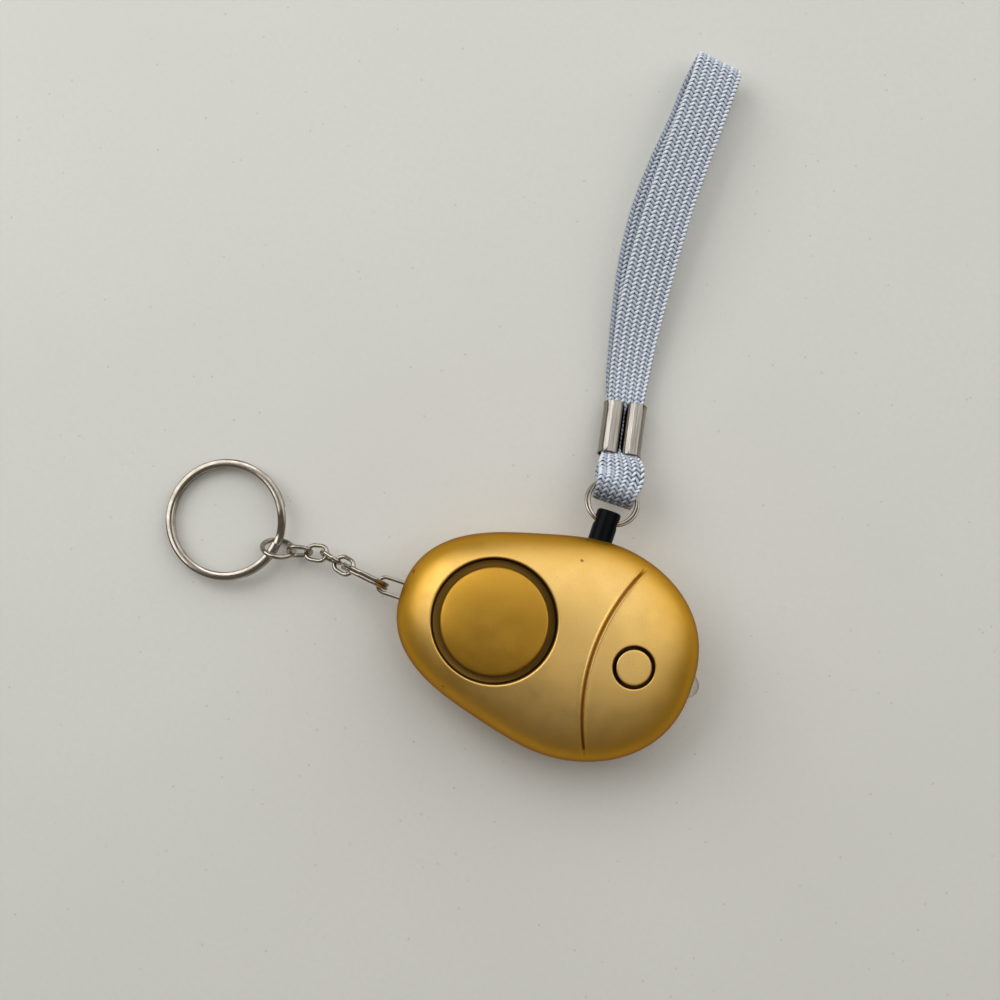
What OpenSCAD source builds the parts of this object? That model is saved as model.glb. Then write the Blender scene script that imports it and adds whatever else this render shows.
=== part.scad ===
// Personal safety alarm: an egg-shaped case with a siren, a lamp and a pull pin on a wrist strap.
// The rest face lies on z = 0, +X points to the lamp end, +Y points to the pull pin, +Z is the front.

/* [Case] */
// Length of the egg-shaped case
body_length = 62; // [52:0.5:78]
// Greatest width of the case
body_width = 45; // [38:0.5:56]
// Height of the parting line above the rest face
parting_z = 10.5; // [9.5:0.25:13]
// Height of the crown above the parting line
crown_h = 10.5; // [9.5:0.25:13]
// Depth that the rest face cuts off the rear dome
rest_cut = 0.5; // [0.2:0.1:0.9]
// Wall thickness of both shells
wall = 1.6; // [1.2:0.1:2]
// Share by which the lamp end is wider than an oval and the key end narrower
egg_taper = 0.1; // [0:0.01:0.16]

/* [Siren] */
// Distance of the siren's axis from the key end
siren_inset = 19.8; // [18:0.1:24]
// Radius of the recess round the siren cover
recess_r = 12.5; // [12:0.1:14]
// Radius of the siren cover
cover_r = 10.8; // [8:0.1:11.4]
// Height of the recess floor above the parting line
recess_floor = 6.7; // [6.2:0.1:7.4]
// Radius of the piezo plate
piezo_r = 12.5; // [11:0.1:13]

/* [Lamp button] */
// Distance of the button's axis from the lamp end
button_inset = 13.2; // [12:0.1:16]
// Radius of the button cap
button_r = 3.55; // [2.8:0.05:4.2]
// Gap between the button cap and its hole
button_gap = 0.7; // [0.3:0.05:1]
// Travel of the button
button_travel = 0.5; // [0.3:0.05:0.8]

/* [Lamp] */
// Radius of the lamp
lamp_r = 2.5; // [1.5:0.1:2.6]
// Length of the lamp's dome outside the case
lamp_proud = 1.5; // [0.5:0.1:2.4]

/* [Pull pin] */
// Distance of the pin's axis from the middle of the case, towards the lamp
pin_x = 4; // [3:0.25:6]
// Radius of the pin's shaft
pin_r = 2.5; // [2:0.1:2.8]
// Length of the pin outside the case
pin_out = 6.2; // [5:0.1:9]
// Radius of the cross hole for the strap ring
pin_hole_r = 1.1; // [1.1:0.05:1.3]

/* [Key chain] */
// Outer radius of the key ring
key_ring_r = 12.7; // [10:0.1:16]
// Radial width of the key ring's wire
key_wire_w = 1.7; // [1.2:0.1:2]
// Height of both turns of the key ring
key_wire_h = 2; // [1.4:0.1:2.2]
// Outer length of a chain link
link_length = 5.6; // [5.2:0.1:7]
// Outer width of a chain link
link_width = 4.2; // [3.9:0.1:5]
// Wire diameter of a chain link
link_wire = 0.9; // [0.7:0.05:1]

/* [Wrist strap] */
// Width of the flat braid
strap_w = 10; // [7:0.25:12]
// Thickness of the flat braid
strap_t = 1.4; // [1:0.1:1.6]
// Length of the metal clip
clip_length = 11.2; // [8:0.1:12]
// Outer radius of each barrel of the clip
clip_r = 2.2; // [2:0.05:2.4]

/* [Hidden] */
$fn = 48;
eps = 0.01;
// Room between pieces that slide, that rest side by side, and between links
slide_gap = 0.08;
fit_gap = 0.05;
chain_gap = 0.11 * link_wire;
// Wire of the chain's split ring, room for its two turns in a bow, and room for the key ring
chain_ring_wire = 0.8;
turn_gap = 0.8 * chain_ring_wire;
key_gap = 1;

// Egg outline: a superellipse whose width follows a smooth step along its length
outline_n = 2.3;
dome_n = 2.7;
step_rate = 3;
step_shift = 0.08;
outline_points = 64;
dome_levels = 8;
half_l = body_length / 2;
half_w = body_width / 2;
rear_h = parting_z + rest_cut;

function tanh(x) = 1 - 2 / (exp(2 * x) + 1);
function power(v, n) = sign(v) * pow(abs(v), 2 / n);
function egg_step(u) = 1 + egg_taper * tanh(step_rate * (u + step_shift));
function egg_unit(a) = let (u = power(cos(a), outline_n)) [u, power(sin(a), outline_n) * egg_step(u)];
egg_peak = max([for (a = [0:2:180]) egg_unit(a)[1]]);
function egg_at(a, inset) =
    let (e = egg_unit(a)) [(half_l - inset) * e[0], (half_w - inset) / egg_peak * e[1]];
function egg_outline(inset) = [for (i = [0:outline_points - 1]) egg_at(360 * i / outline_points, inset)];

// Half width of the case at a place along its length
function side_y(x, inset = 0) =
    let (u = x / (half_l - inset))
    (half_w - inset) / egg_peak * pow(1 - pow(abs(u), outline_n), 1 / outline_n) * egg_step(u);

// Height of the front dome above the parting line on the long axis
function crown_z(x, inset = 0) =
    (crown_h - inset) * pow(1 - pow(abs(x) / (half_l - inset), dome_n), 1 / dome_n);

// Places of the main pieces
siren_x = -half_l + siren_inset;
button_x = half_l - button_inset;
floor_z = parting_z + recess_floor;
floor_t = 1.2;
floor_under = floor_z - floor_t;
tube_r = recess_r + 1.4;
cover_drop = 0.35;
cover_lift = 1;
cover_peg_r = 0.7;
cover_foot_r = 1.1;
cover_peg_ring = 7.5;
sound_hole_r = 4;
arc_r = 40;
arc_x = 9.2;
arc_w = 0.8;
arc_depth = 0.5;
piezo_t = 0.25;
ceramic_r = 9;
ceramic_t = 0.2;
gasket_t = 0.45;
gasket_w = 1.6;
piezo_z = floor_under - gasket_t - piezo_t;
seat_r = piezo_r + fit_gap;
seat_w = 1;
crown_top = parting_z + crown_h;

// Case screws and bosses
boss_r = 2.2;
pilot_r = 1;
screw_r = 0.95;
screw_hole_r = 1.15;
head_r = 1.9;
head_t = 1.4;
screw_seat = parting_z - 4.5;
boss_split = parting_z - 1.5;
screw_tip = parting_z + 3.9;
front_screw_x = half_l - 11;
front_screw_y = side_y(front_screw_x) - 6.8;
side_screw_x = pin_x - 7.5;
side_screw_y = side_y(side_screw_x) - 5.3;
screw_places = [for (s = [-1, 1])
    each [[front_screw_x, s * front_screw_y], [side_screw_x, s * side_screw_y]]];

// Lip of the rear shell inside the front shell
lip_h = 1.2;
lip_t = 0.8;
lip_gap = 0.3;

// Pull pin, its guide and the contact that it holds open
pin_face = side_y(pin_x);
pin_end = pin_face + pin_out;
pin_hole_y = pin_end - 2.3;
pin_shoulder = pin_face - 5;
guide_end = pin_shoulder - 1.5;
guide_r = pin_r + 1.5;
tip_r = 1.25;
tip_nose_r = 0.8;
tip_taper_y = pin_shoulder - 2.5;
tip_end = pin_shoulder - 8;

// Button cells and their contacts
cell_r = 5.8;
cell_t = 5.4;
cell_count = 3;
cell_x = -half_l + 11;
cell_z = parting_z - 1.7;
cells_end = cell_x + cell_count * cell_t;
plate_t = 0.4;
plate_w = 8;
spring_l = 2.2;
cradle_t = 1.5;
cradle_top = parting_z - 0.5;
rail_t = 1;
rail_y = cell_r + 0.3;
spring_wire = 0.5;
spring_r = 3;
spring_turns = 3;

// Circuit board and what stands on it
board_t = 1;
board_top = parting_z - 0.25;
board_inset = 5;
board_start = pin_x + 4.5;
board_end = half_l - 7;
tongue_start = max(pin_x - 4, cells_end + plate_t + cradle_t + 0.5);
tongue_low = -11;
tongue_high = tip_end - 0.4;
post_r = 1.2;
switch_w = 6;
switch_h = 3.5;
plunger_r = 1.75;
plunger_foot = 1.2;
coil_r = 3;
coil_h = 5;

// Button cap
cap_flange_r = button_r + button_gap + 0.8;
cap_flange_t = 0.8;
collar_r = cap_flange_r + 0.5;
collar_low = parting_z + crown_z(button_x + cap_flange_r, wall) - 0.35;
cap_flange_top = collar_low - fit_gap;
cap_rise = 0.15;
cap_stem_r = 2;
plunger_top = cap_flange_top - cap_flange_t - 0.5;

// Contact leaf beside the pin's tip, and its fixed contact
leaf_x = pin_x + tip_r + 0.1;
leaf_t = 0.2;
leaf_h = 2;
leaf_root_y = tip_end - 4.4;
leaf_end_y = tip_taper_y;
leaf_low = board_top + 0.2;
eye_r = 0.6;
eye_post_r = 0.3;
stop_x = leaf_x - 0.55;

// Lamp
lamp_tip = half_l + lamp_proud;
lamp_flange_r = lamp_r + 0.4;
lamp_flange_t = 1;
lamp_base = lamp_tip - lamp_r - 5;
lead_r = 0.25;
lead_y = 1.27;

// Wire staple for the key chain
staple_wire = 0.8;
staple_w = 4;
staple_out = 5.5;
staple_in = 3.6;
staple_hook = 2.6;
staple_leg_y = (staple_w - staple_wire) / 2;
staple_end_x = -half_l - staple_out + staple_wire / 2;

// Small split rings on the pin and on the staple, wound in two turns
strap_ring_r = 5.45;
chain_ring_r = 5.25;
small_wire = 0.6;
jump_ring_r = 3.8;
jump_wire = 1.05;

// Directions of the key chain's pieces: yaw towards +Y, slope down, and roll about the chain
function away(yaw, slope) = [-cos(yaw) * cos(slope), sin(yaw) * cos(slope), -sin(slope)];
link_count = 4;
// Fall of the chain from the staple to the jump ring, whose middle rests at this height
jump_height = 3.25;
posed_fall = 7.32;
fall = (parting_z - jump_height) / posed_fall;
chain_ring_pose = [8, 24 * fall, 90];
link_poses = [[12, 28 * fall, -6], [8, 26 * fall, 78], [-10, 17 * fall, -16], [-16, -2, 62]];
jump_pose = [-6, -1, -56];
key_pose = [16, 5.4, 0];
function chain_middle(hook, pose, reach) = hook + reach * away(pose[0], pose[1]);
link_arm = (link_length - link_wire) / 2;
chain_ring_arm = chain_ring_r - chain_ring_wire / 2;
jump_arm = jump_ring_r - jump_wire / 2;
key_arm = key_ring_r - key_wire_w / 2;
staple_end = [staple_end_x, 0, parting_z];
chain_ring_at = chain_middle(staple_end, chain_ring_pose,
    chain_ring_arm - (staple_wire + chain_ring_wire) / 2 - chain_gap - turn_gap);
chain_ring_hook = chain_middle(chain_ring_at, chain_ring_pose, chain_ring_arm);
function link_reach(i) =
    link_arm - link_wire / 2 - (i == 0 ? chain_ring_wire / 2 + turn_gap : link_wire / 2) - chain_gap;
function link_at(i) =
    chain_middle(i == 0 ? chain_ring_hook : link_hook(i - 1), link_poses[i], link_reach(i));
function link_hook(i) = chain_middle(link_at(i), link_poses[i], link_arm);
jump_at = chain_middle(link_hook(link_count - 1), jump_pose,
    jump_arm - (link_wire + jump_wire) / 2 - chain_gap);
jump_hook = chain_middle(jump_at, jump_pose, jump_arm);
key_at = chain_middle(jump_hook, key_pose, key_arm - (jump_wire + key_wire_w) / 2 - key_gap);

// Strap ring in the pin's cross hole, tilted down to the strap
ring_drop = 20;
ring_arm = strap_ring_r - small_wire / 2;
pin_hook = [pin_x, pin_hole_y, parting_z];
ring_dir = [0, cos(ring_drop), -sin(ring_drop)];
// The ring's arc is bent, so its middle lies off the hole's axis by half its bend inside the pin
hole_bend = (ring_arm - sqrt(ring_arm * ring_arm - pin_r * pin_r)) / 2;
strap_hook = pin_hook + (2 * ring_arm - hole_bend) * ring_dir;

// Clip and strap: the clip's lower mouth, and its yaw and slope
clip_yaw = 10;
clip_slope = 12;
clip_height = 5;
clip_at = [strap_hook[0] - 1.6, strap_hook[1] + 5, clip_height];
clip_dir = [-sin(clip_yaw) * cos(clip_slope), cos(clip_yaw) * cos(clip_slope), -sin(clip_slope)];
clip_side = [cos(clip_yaw), sin(clip_yaw), 0];
clip_up = cross(clip_side, clip_dir);
clip_top = clip_at + clip_length * clip_dir;
clip_bore_r = clip_r - 0.35;
core_r = clip_bore_r - fit_gap;
core_proud = 0.3;
core_l = clip_length + 2 * core_proud;
mouth_w = 4 * core_r + 0.4;
layer_z = strap_t / 2 + 0.1;

// Route of the wrist loop in plan from the clip's upper mouth, with heights above the rest face:
// out on the upper layer and back on the lower one
loop_route = [
    [-1, 5.3, 3.4], [-2.2, 12.3, 3.8], [-3.2, 20.3, 4.7], [-4, 30.3, 5.9], [-4.4, 40.3, 6.9],
    [-4.3, 50.3, 7.5], [-4, 60.3, 7.8], [-3.8, 67.8, 7.4], [-3.8, 71.8, 6], [-3.9, 73, 4.2],
    [-4.3, 72, 2.3], [-4.9, 68.6, 1.1], [-5.5, 60.3, 0.8], [-6.6, 50.3, 0.8], [-7, 40.3, 0.8],
    [-6.2, 30.3, 0.8], [-4.5, 20.3, 0.8], [-2.8, 11.3, 0.8], [-1.4, 4.3, 1.1]];
// The far end of the loop is turned in plan, so its fold lies aslant
loop_turn = 18;
loop_points = concat(
    [clip_top + layer_z * clip_up],
    [for (p = loop_route) [clip_top[0] + p[0], clip_top[1] + p[1], p[2]]],
    [clip_top - layer_z * clip_up]);
// Fold of the strap round the strap ring: a loose bight that hangs down to the ring's middle, given by its
// places along and across the ring's own plane
fold_gap = 1.6;
fold_depth = ring_arm - 0.4;
fold_w = 2 * (ring_arm - small_wire) - 0.5;
fold_bight = [[0.63, 0.95], [0.91, 0.6], [1, 0], [0.91, -0.6], [0.63, -0.95]];
ring_up = cross([1, 0, 0], ring_dir);
fold_z = fold_gap + strap_t / 2;
fold_mid = 0.45 * strap_hook + 0.55 * clip_at;
fold_points = concat(
    [clip_at + layer_z * clip_up, fold_mid + 0.85 * fold_z * ring_up, strap_hook + fold_z * ring_up],
    [for (p = fold_bight) strap_hook - fold_depth * p[0] * ring_dir + fold_z * p[1] * ring_up],
    [strap_hook - fold_z * ring_up, fold_mid - 0.85 * fold_z * ring_up, clip_at - layer_z * clip_up]);
fold_widths = [mouth_w, strap_w - 0.6, strap_w - 0.2, fold_w + 0.4, fold_w, fold_w, fold_w, fold_w + 0.4,
    strap_w - 0.2, strap_w - 0.6, mouth_w];
fold_turn = [1, 0.6, 0, 0, 0, 0, 0, 0, 0, 0.6, 1];

// Wires inside the case
lead_wire_r = 0.45;
bay_mid = (cells_end + plate_t + tongue_start) / 2;
plus_wire = [
    [cells_end + plate_t, 2.5, parting_z + 1.2], [bay_mid, 2.5, parting_z + 1.6],
    [tongue_start + 1.6, 2.2, parting_z + 1.3], [tongue_start + 2, 2, board_top]];
minus_wire = [
    [cell_x - spring_l - plate_t, 3, parting_z + 1.5], [cell_x - 3.4, 6, parting_z + 1.7],
    [cell_x, 8.6, parting_z + 0.9], [cell_x + 9, 9.2, parting_z + 0.1], [bay_mid - 1, 8, parting_z + 1.1],
    [tongue_start + 1, 5.4, parting_z + 1.5], [tongue_start + 1.6, 4.8, board_top]];
piezo_wires = [for (y = [-2, -4.5]) [
    [siren_x + 9.6, y, piezo_z], [siren_x + 11.6, y - 0.3, piezo_z - 1.5],
    [tongue_start + 3.2, y - 0.5, board_top + 2.4], [tongue_start + 3.6, y - 0.6, board_top]]];

// Smooth curve through a list of points
function curve_at(a, b, c, d, t) =
    0.5 * (2 * b + (c - a) * t + (2 * a - 5 * b + 4 * c - d) * t * t + (3 * b - a - 3 * c + d) * t * t * t);
function curve(p, steps) = let (n = len(p)) concat(
    [for (i = [0:n - 2]) for (k = [0:steps - 1])
        curve_at(p[max(i - 1, 0)], p[i], p[i + 1], p[min(i + 2, n - 1)], k / steps)], [p[n - 1]]);
function unit(v) = v / norm(v);
function heading(p, i) = unit(p[min(i + 1, len(p) - 1)] - p[max(i - 1, 0)]);
function ring_on(p, t, side, section) =
    let (w = unit(side - (side * t) * t), n = cross(t, w)) [for (q = section) p + q[0] * w + q[1] * n];
function flat_section(w, t) = [for (s = [[1, 1], [-1, -1]])
    each [[s[0] * w / 2, -s[1] * t / 4], [s[0] * w / 2, s[1] * t / 4],
        [s[0] * (w / 2 - t / 3), s[1] * t / 2], [-s[0] * (w / 2 - t / 3), s[1] * t / 2]]];
function round_section(r, sides) =
    [for (i = [0:sides - 1]) r * [cos(360 * i / sides), sin(360 * i / sides)]];

// Closed skin over rings of points, all with as many points
module skin(rings) {
    n = len(rings[0]);
    m = len(rings);
    polyhedron(
        points = [for (r = rings) each r],
        faces = concat(
            [[for (j = [0:n - 1]) j]],
            [[for (j = [n - 1:-1:0]) (m - 1) * n + j]],
            [for (i = [0:m - 2]) for (j = [0:n - 1])
                each [[i * n + j, (i + 1) * n + j, i * n + (j + 1) % n],
                    [i * n + (j + 1) % n, (i + 1) * n + j, (i + 1) * n + (j + 1) % n]]]));
}

module wire(points, r, sides = 8, side = [0.3, 0.2, 1]) {
    skin([for (i = [0:len(points) - 1])
        ring_on(points[i], heading(points, i), side, round_section(r, sides))]);
}

// Dome over the egg outline, standing on z = 0, with a skirt below it
module dome(inset, h, skirt = 0) {
    n = outline_points;
    base = egg_outline(inset);
    levels = concat(skirt > 0 ? [[1, -skirt]] : [], [for (j = [0:dome_levels - 1])
        let (a = 90 * j / dome_levels) [power(cos(a), dome_n), h * power(sin(a), dome_n)]]);
    m = len(levels);
    polyhedron(
        points = concat([for (l = levels) for (p = base) [p[0] * l[0], p[1] * l[0], l[1]]], [[0, 0, h]]),
        faces = concat(
            [[for (j = [0:n - 1]) j]],
            [for (i = [0:m - 2]) for (j = [0:n - 1])
                each [[i * n + j, (i + 1) * n + j, i * n + (j + 1) % n],
                    [i * n + (j + 1) % n, (i + 1) * n + j, (i + 1) * n + (j + 1) % n]]],
            [for (j = [0:n - 1]) [(m - 1) * n + j, m * n, (m - 1) * n + (j + 1) % n]]));
}

module front_dome(inset, skirt = 0) {
    translate([0, 0, parting_z]) dome(inset, crown_h - inset, skirt);
}

module rear_dome(inset, skirt = 0) {
    translate([0, 0, parting_z]) mirror([0, 0, 1]) dome(inset, rear_h - inset, skirt);
}

module along_y(r, from, to) {
    translate([pin_x, from, parting_z]) rotate([-90, 0, 0]) cylinder(r = r, h = to - from);
}

module along_x(r, from, to, y = 0, z = parting_z) {
    translate([from, y, z]) rotate([0, 90, 0]) cylinder(r = r, h = to - from);
}

module upright(r, x, y, from, to) {
    translate([x, y, from]) cylinder(r = r, h = to - from);
}

module half_space(up) {
    side = 2 * (body_length + body_width);
    translate([-side / 2, -side / 2, up ? parting_z : parting_z - side]) cube(side);
}

// Bore, guide step and cross-cuts that the two shells share on the parting plane
module parting_bores() {
    along_y(pin_r + slide_gap, pin_shoulder - fit_gap, pin_end);
    along_y(tip_r + 0.2, guide_end - 1, pin_shoulder);
    along_x(lamp_r + fit_gap, half_l - 2 * wall - 2, lamp_tip + 1);
    for (s = [-1, 1])
        along_x(staple_wire / 2 + fit_gap, -half_l - 1, -half_l + staple_in + 1, s * staple_leg_y);
}

module pin_guide() {
    along_y(guide_r, guide_end, pin_face + 2);
}

module arc_groove() {
    difference() {
        translate([arc_x + arc_r, 0, parting_z + 2]) difference() {
            cylinder(r = arc_r + arc_w / 2, h = crown_h);
            translate([0, 0, -1]) cylinder(r = arc_r - arc_w / 2, h = crown_h + 2);
        }
        translate([0, 0, -arc_depth]) front_dome(0, 1);
    }
}

module upper_shell() {
    color("goldenrod") difference() {
        union() {
            difference() {
                front_dome(0);
                front_dome(wall, 1);
            }
            intersection() {
                front_dome(wall / 2);
                union() {
                    upright(tube_r, siren_x, 0, floor_under, crown_top);
                    difference() {
                        upright(seat_r + seat_w, siren_x, 0, piezo_z - ceramic_t, floor_under + eps);
                        upright(seat_r, siren_x, 0, piezo_z - 1, floor_under);
                    }
                    upright(collar_r, button_x, 0, collar_low, crown_top);
                    for (p = screw_places) upright(boss_r, p[0], p[1], boss_split + fit_gap, crown_top);
                    intersection() {
                        pin_guide();
                        half_space(true);
                    }
                }
            }
        }
        upright(recess_r, siren_x, 0, floor_z, crown_top + 1);
        upright(sound_hole_r, siren_x, 0, floor_under - 1, floor_z + 1);
        for (a = [30:120:270])
            translate([siren_x, 0, 0]) rotate(a)
                upright(cover_peg_r, cover_peg_ring, 0, floor_under - 1, floor_z + 1);
        upright(button_r + button_gap, button_x, 0, collar_low - 1, crown_top + 1);
        for (p = screw_places) upright(pilot_r, p[0], p[1], boss_split, screw_tip + 0.4);
        parting_bores();
        arc_groove();
    }
}

module lower_shell() {
    color("darkgoldenrod") difference() {
        union() {
            difference() {
                rear_dome(0);
                rear_dome(wall, 1);
            }
            translate([0, 0, parting_z - eps]) linear_extrude(lip_h) difference() {
                polygon(egg_outline(wall + lip_gap));
                polygon(egg_outline(wall + lip_gap + lip_t));
            }
            translate([0, 0, parting_z - 2]) linear_extrude(2) difference() {
                polygon(egg_outline(wall / 2));
                polygon(egg_outline(wall + lip_gap + lip_t));
            }
            intersection() {
                rear_dome(wall / 2);
                union() {
                    for (p = screw_places) upright(boss_r, p[0], p[1], 0, boss_split);
                    for (p = [[board_start + 1.5, 8.5], [board_start + 1.5, -9], [board_end - 2.5, 0]])
                        upright(post_r, p[0], p[1], 0, board_top - board_t);
                    translate([cells_end + plate_t + fit_gap, -rail_y, 0])
                        cube([cradle_t, 2 * rail_y, cradle_top]);
                    translate([cell_x - spring_l - plate_t - fit_gap - cradle_t, -rail_y, 0])
                        cube([cradle_t, 2 * rail_y, cradle_top]);
                    for (s = [-1, 1]) translate([cell_x, s * (rail_y + rail_t / 2) - rail_t / 2, 0])
                        cube([cell_count * cell_t, rail_t, cell_z]);
                    intersection() {
                        pin_guide();
                        half_space(false);
                    }
                }
            }
        }
        translate([0, 0, -rear_h]) cube([2 * body_length, 2 * body_width, 2 * rear_h], center = true);
        for (p = screw_places) {
            upright(screw_hole_r, p[0], p[1], -1, boss_split + 1);
            upright(head_r + 0.15, p[0], p[1], -1, screw_seat);
        }
        intersection() {
            along_y(guide_r + fit_gap, 0, pin_face + 2);
            half_space(true);
        }
        parting_bores();
    }
}

module siren_cover() {
    color("goldenrod") {
        intersection() {
            translate([0, 0, -cover_drop]) front_dome(0, 1);
            upright(cover_r, siren_x, 0, floor_z + cover_lift, crown_top);
        }
        for (a = [30:120:270]) translate([siren_x, 0, 0]) rotate(a) translate([cover_peg_ring, 0, 0]) {
            upright(cover_foot_r, 0, 0, floor_z, floor_z + cover_lift + eps);
            upright(cover_peg_r - slide_gap, 0, 0, floor_under + 0.2, floor_z + eps);
        }
    }
}

module light_button() {
    color("goldenrod") {
        intersection() {
            translate([0, 0, cap_rise]) front_dome(0, 1);
            upright(button_r, button_x, 0, cap_flange_top - eps, crown_top);
        }
        upright(cap_flange_r, button_x, 0, cap_flange_top - cap_flange_t, cap_flange_top);
        upright(cap_stem_r, button_x, 0, plunger_top + fit_gap, cap_flange_top - cap_flange_t + eps);
    }
}

module case_screws() {
    color("silver") for (p = screw_places) difference() {
        union() {
            upright(head_r, p[0], p[1], screw_seat - head_t, screw_seat);
            upright(screw_r, p[0], p[1], screw_seat - eps, screw_tip);
        }
        for (a = [0, 90]) translate([p[0], p[1], screw_seat - head_t]) rotate(a)
            cube([2.2, 0.5, 1], center = true);
    }
}

// Bent wire with round ends: two legs, a half-round bow and hooked feet inside the case
module key_staple() {
    color("silver") {
        translate([staple_end_x + staple_leg_y, 0, parting_z]) rotate(90) rotate_extrude(angle = 180)
            translate([staple_leg_y, 0]) circle(d = staple_wire);
        for (s = [-1, 1]) {
            along_x(staple_wire / 2, staple_end_x + staple_leg_y, -half_l + staple_in, s * staple_leg_y);
            translate([-half_l + staple_in, s * staple_leg_y, parting_z]) sphere(d = staple_wire);
            translate([-half_l + staple_in, s * staple_leg_y, parting_z - staple_hook])
                cylinder(d = staple_wire, h = staple_hook);
        }
    }
}

module piezo_plate() {
    color("gold") upright(piezo_r, siren_x, 0, piezo_z, piezo_z + piezo_t);
}

module piezo_ceramic() {
    color("ivory") upright(ceramic_r, siren_x, 0, piezo_z - ceramic_t, piezo_z);
}

module piezo_gasket() {
    color("dimgray") difference() {
        upright(piezo_r, siren_x, 0, floor_under - gasket_t, floor_under);
        upright(piezo_r - gasket_w, siren_x, 0, floor_under - 1, floor_under + 1);
    }
}

module lamp() {
    color("white") {
        along_x(lamp_r, lamp_base, lamp_tip - lamp_r);
        translate([lamp_tip - lamp_r, 0, parting_z]) intersection() {
            sphere(r = lamp_r);
            translate([-eps, -lamp_r, -lamp_r]) cube(2 * lamp_r);
        }
        along_x(lamp_flange_r, lamp_base - lamp_flange_t, lamp_base + eps);
    }
}

module lamp_leads() {
    color("silver") for (s = [-1, 1])
        along_x(lead_r, board_end - 2.5, lamp_base - lamp_flange_t, s * lead_y, board_top + lead_r);
}

module circuit_board() {
    color("darkgreen") translate([0, 0, board_top - board_t]) difference() {
        linear_extrude(board_t) union() {
            intersection() {
                polygon(egg_outline(board_inset));
                translate([board_start, -half_w]) square([board_end - board_start, body_width]);
            }
            translate([tongue_start, tongue_low])
                square([board_start - tongue_start + 1, tongue_high - tongue_low]);
        }
        for (p = screw_places) upright(boss_r + 0.3, p[0], p[1], -1, board_t + 1);
    }
}

module switch_body() {
    color("black") difference() {
        translate([button_x - switch_w / 2, -switch_w / 2, board_top]) cube([switch_w, switch_w, switch_h]);
        upright(plunger_r + slide_gap, button_x, 0, board_top + plunger_foot, board_top + switch_h + 1);
    }
}

module switch_plunger() {
    foot = board_top + plunger_foot + button_travel + 0.3;
    color("dimgray") upright(plunger_r, button_x, 0, foot, plunger_top);
}

module siren_chip() {
    color("black") translate([board_start + 1, -2.5, board_top]) {
        cube([4, 5, 1.4]);
        for (i = [0:3]) translate([-0.6, 0.4 + 1.2 * i, 0]) cube([5.2, 0.5, 0.4]);
    }
}

module boost_coil() {
    color("saddlebrown") translate([board_start + 4.2, -8.2, board_top]) {
        for (z = [0, coil_h - 0.8]) translate([0, 0, z]) cylinder(r = coil_r, h = 0.8);
        cylinder(r = coil_r - 0.5, h = coil_h);
    }
}

module drive_transistor() {
    color("black") translate([board_start + 1, 5.4, board_top]) {
        cube([3, 1.6, 1.1]);
        for (p = [[0.4, -0.5], [2.1, -0.5], [1.25, 1.5]]) translate([p[0], p[1], 0]) cube([0.5, 0.6, 0.3]);
    }
}

module chip_parts() {
    color("tan") for (i = [0:2]) translate([board_start + 0.8 + 2.5 * i, -4.7, board_top])
        cube([2, 1.1, 0.6]);
}

// Button cell: a can with a smaller cap on its negative side
module cell(i) {
    step = 0.7;
    color("silver") {
        along_x(cell_r, cell_x + i * cell_t + step, cell_x + (i + 1) * cell_t, 0, cell_z);
        along_x(cell_r - 1, cell_x + i * cell_t, cell_x + i * cell_t + step + eps, 0, cell_z);
    }
}

module contact_plate(x) {
    color("lightgray") translate([x, -plate_w / 2, cell_z - plate_w / 2]) cube([plate_t, plate_w, plate_w]);
}

module cell_spring() {
    turn = 14;
    n = spring_turns * turn;
    pitch = (spring_l - spring_wire - 2 * fit_gap) / n;
    start = cell_x - spring_l + spring_wire / 2 + fit_gap;
    points = [for (i = [0:n]) let (r = spring_r * (1 - 0.5 * i / n), a = 360 * i / turn)
        [start + i * pitch, r * cos(a), cell_z + r * sin(a)]];
    color("silver") wire(points, spring_wire / 2, 6, [1, 0, 0]);
}

module pull_pin() {
    color("black") difference() {
        union() {
            along_y(pin_r, pin_shoulder, pin_end - 0.3);
            translate([pin_x, pin_end - 0.3 - eps, parting_z]) rotate([-90, 0, 0])
                cylinder(r1 = pin_r, r2 = pin_r - 0.3, h = 0.3 + eps);
            along_y(tip_r, tip_taper_y, pin_shoulder + eps);
            translate([pin_x, tip_end, parting_z]) rotate([-90, 0, 0])
                cylinder(r1 = tip_nose_r, r2 = tip_r, h = tip_taper_y - tip_end + eps);
        }
        along_x(pin_hole_r, pin_x - pin_r - 1, pin_x + pin_r + 1, pin_hole_y);
    }
}

module contact_leaf() {
    color("khaki") difference() {
        union() {
            translate([leaf_x, leaf_root_y, leaf_low]) cube([leaf_t, leaf_end_y - leaf_root_y, leaf_h]);
            upright(eye_r, leaf_x + leaf_t / 2, leaf_root_y, leaf_low, leaf_low + leaf_h);
        }
        upright(eye_post_r + fit_gap, leaf_x + leaf_t / 2, leaf_root_y,
            leaf_low - 1, leaf_low + leaf_h + 1);
    }
}

module leaf_terminal() {
    color("khaki") translate([leaf_x + leaf_t / 2, leaf_root_y, 0]) {
        upright(eye_post_r, 0, 0, board_top, leaf_low + leaf_h + 0.3);
        upright(eye_r, 0, 0, board_top, leaf_low - fit_gap);
    }
}

module fixed_contact() {
    color("khaki") translate([stop_x - 0.8, tip_end - 2, board_top]) {
        cube([0.8, 1.2, leaf_h + 0.2]);
        translate([-1, 0, 0]) cube([1.2, 1.2, 0.3]);
    }
}

module cell_wires() {
    color("red") wire(curve(plus_wire, 4), lead_wire_r);
    color("black") wire(curve(minus_wire, 4), lead_wire_r);
}

module piezo_leads() {
    color("red") for (p = piezo_wires) wire(curve(p, 4), lead_wire_r);
}

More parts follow.
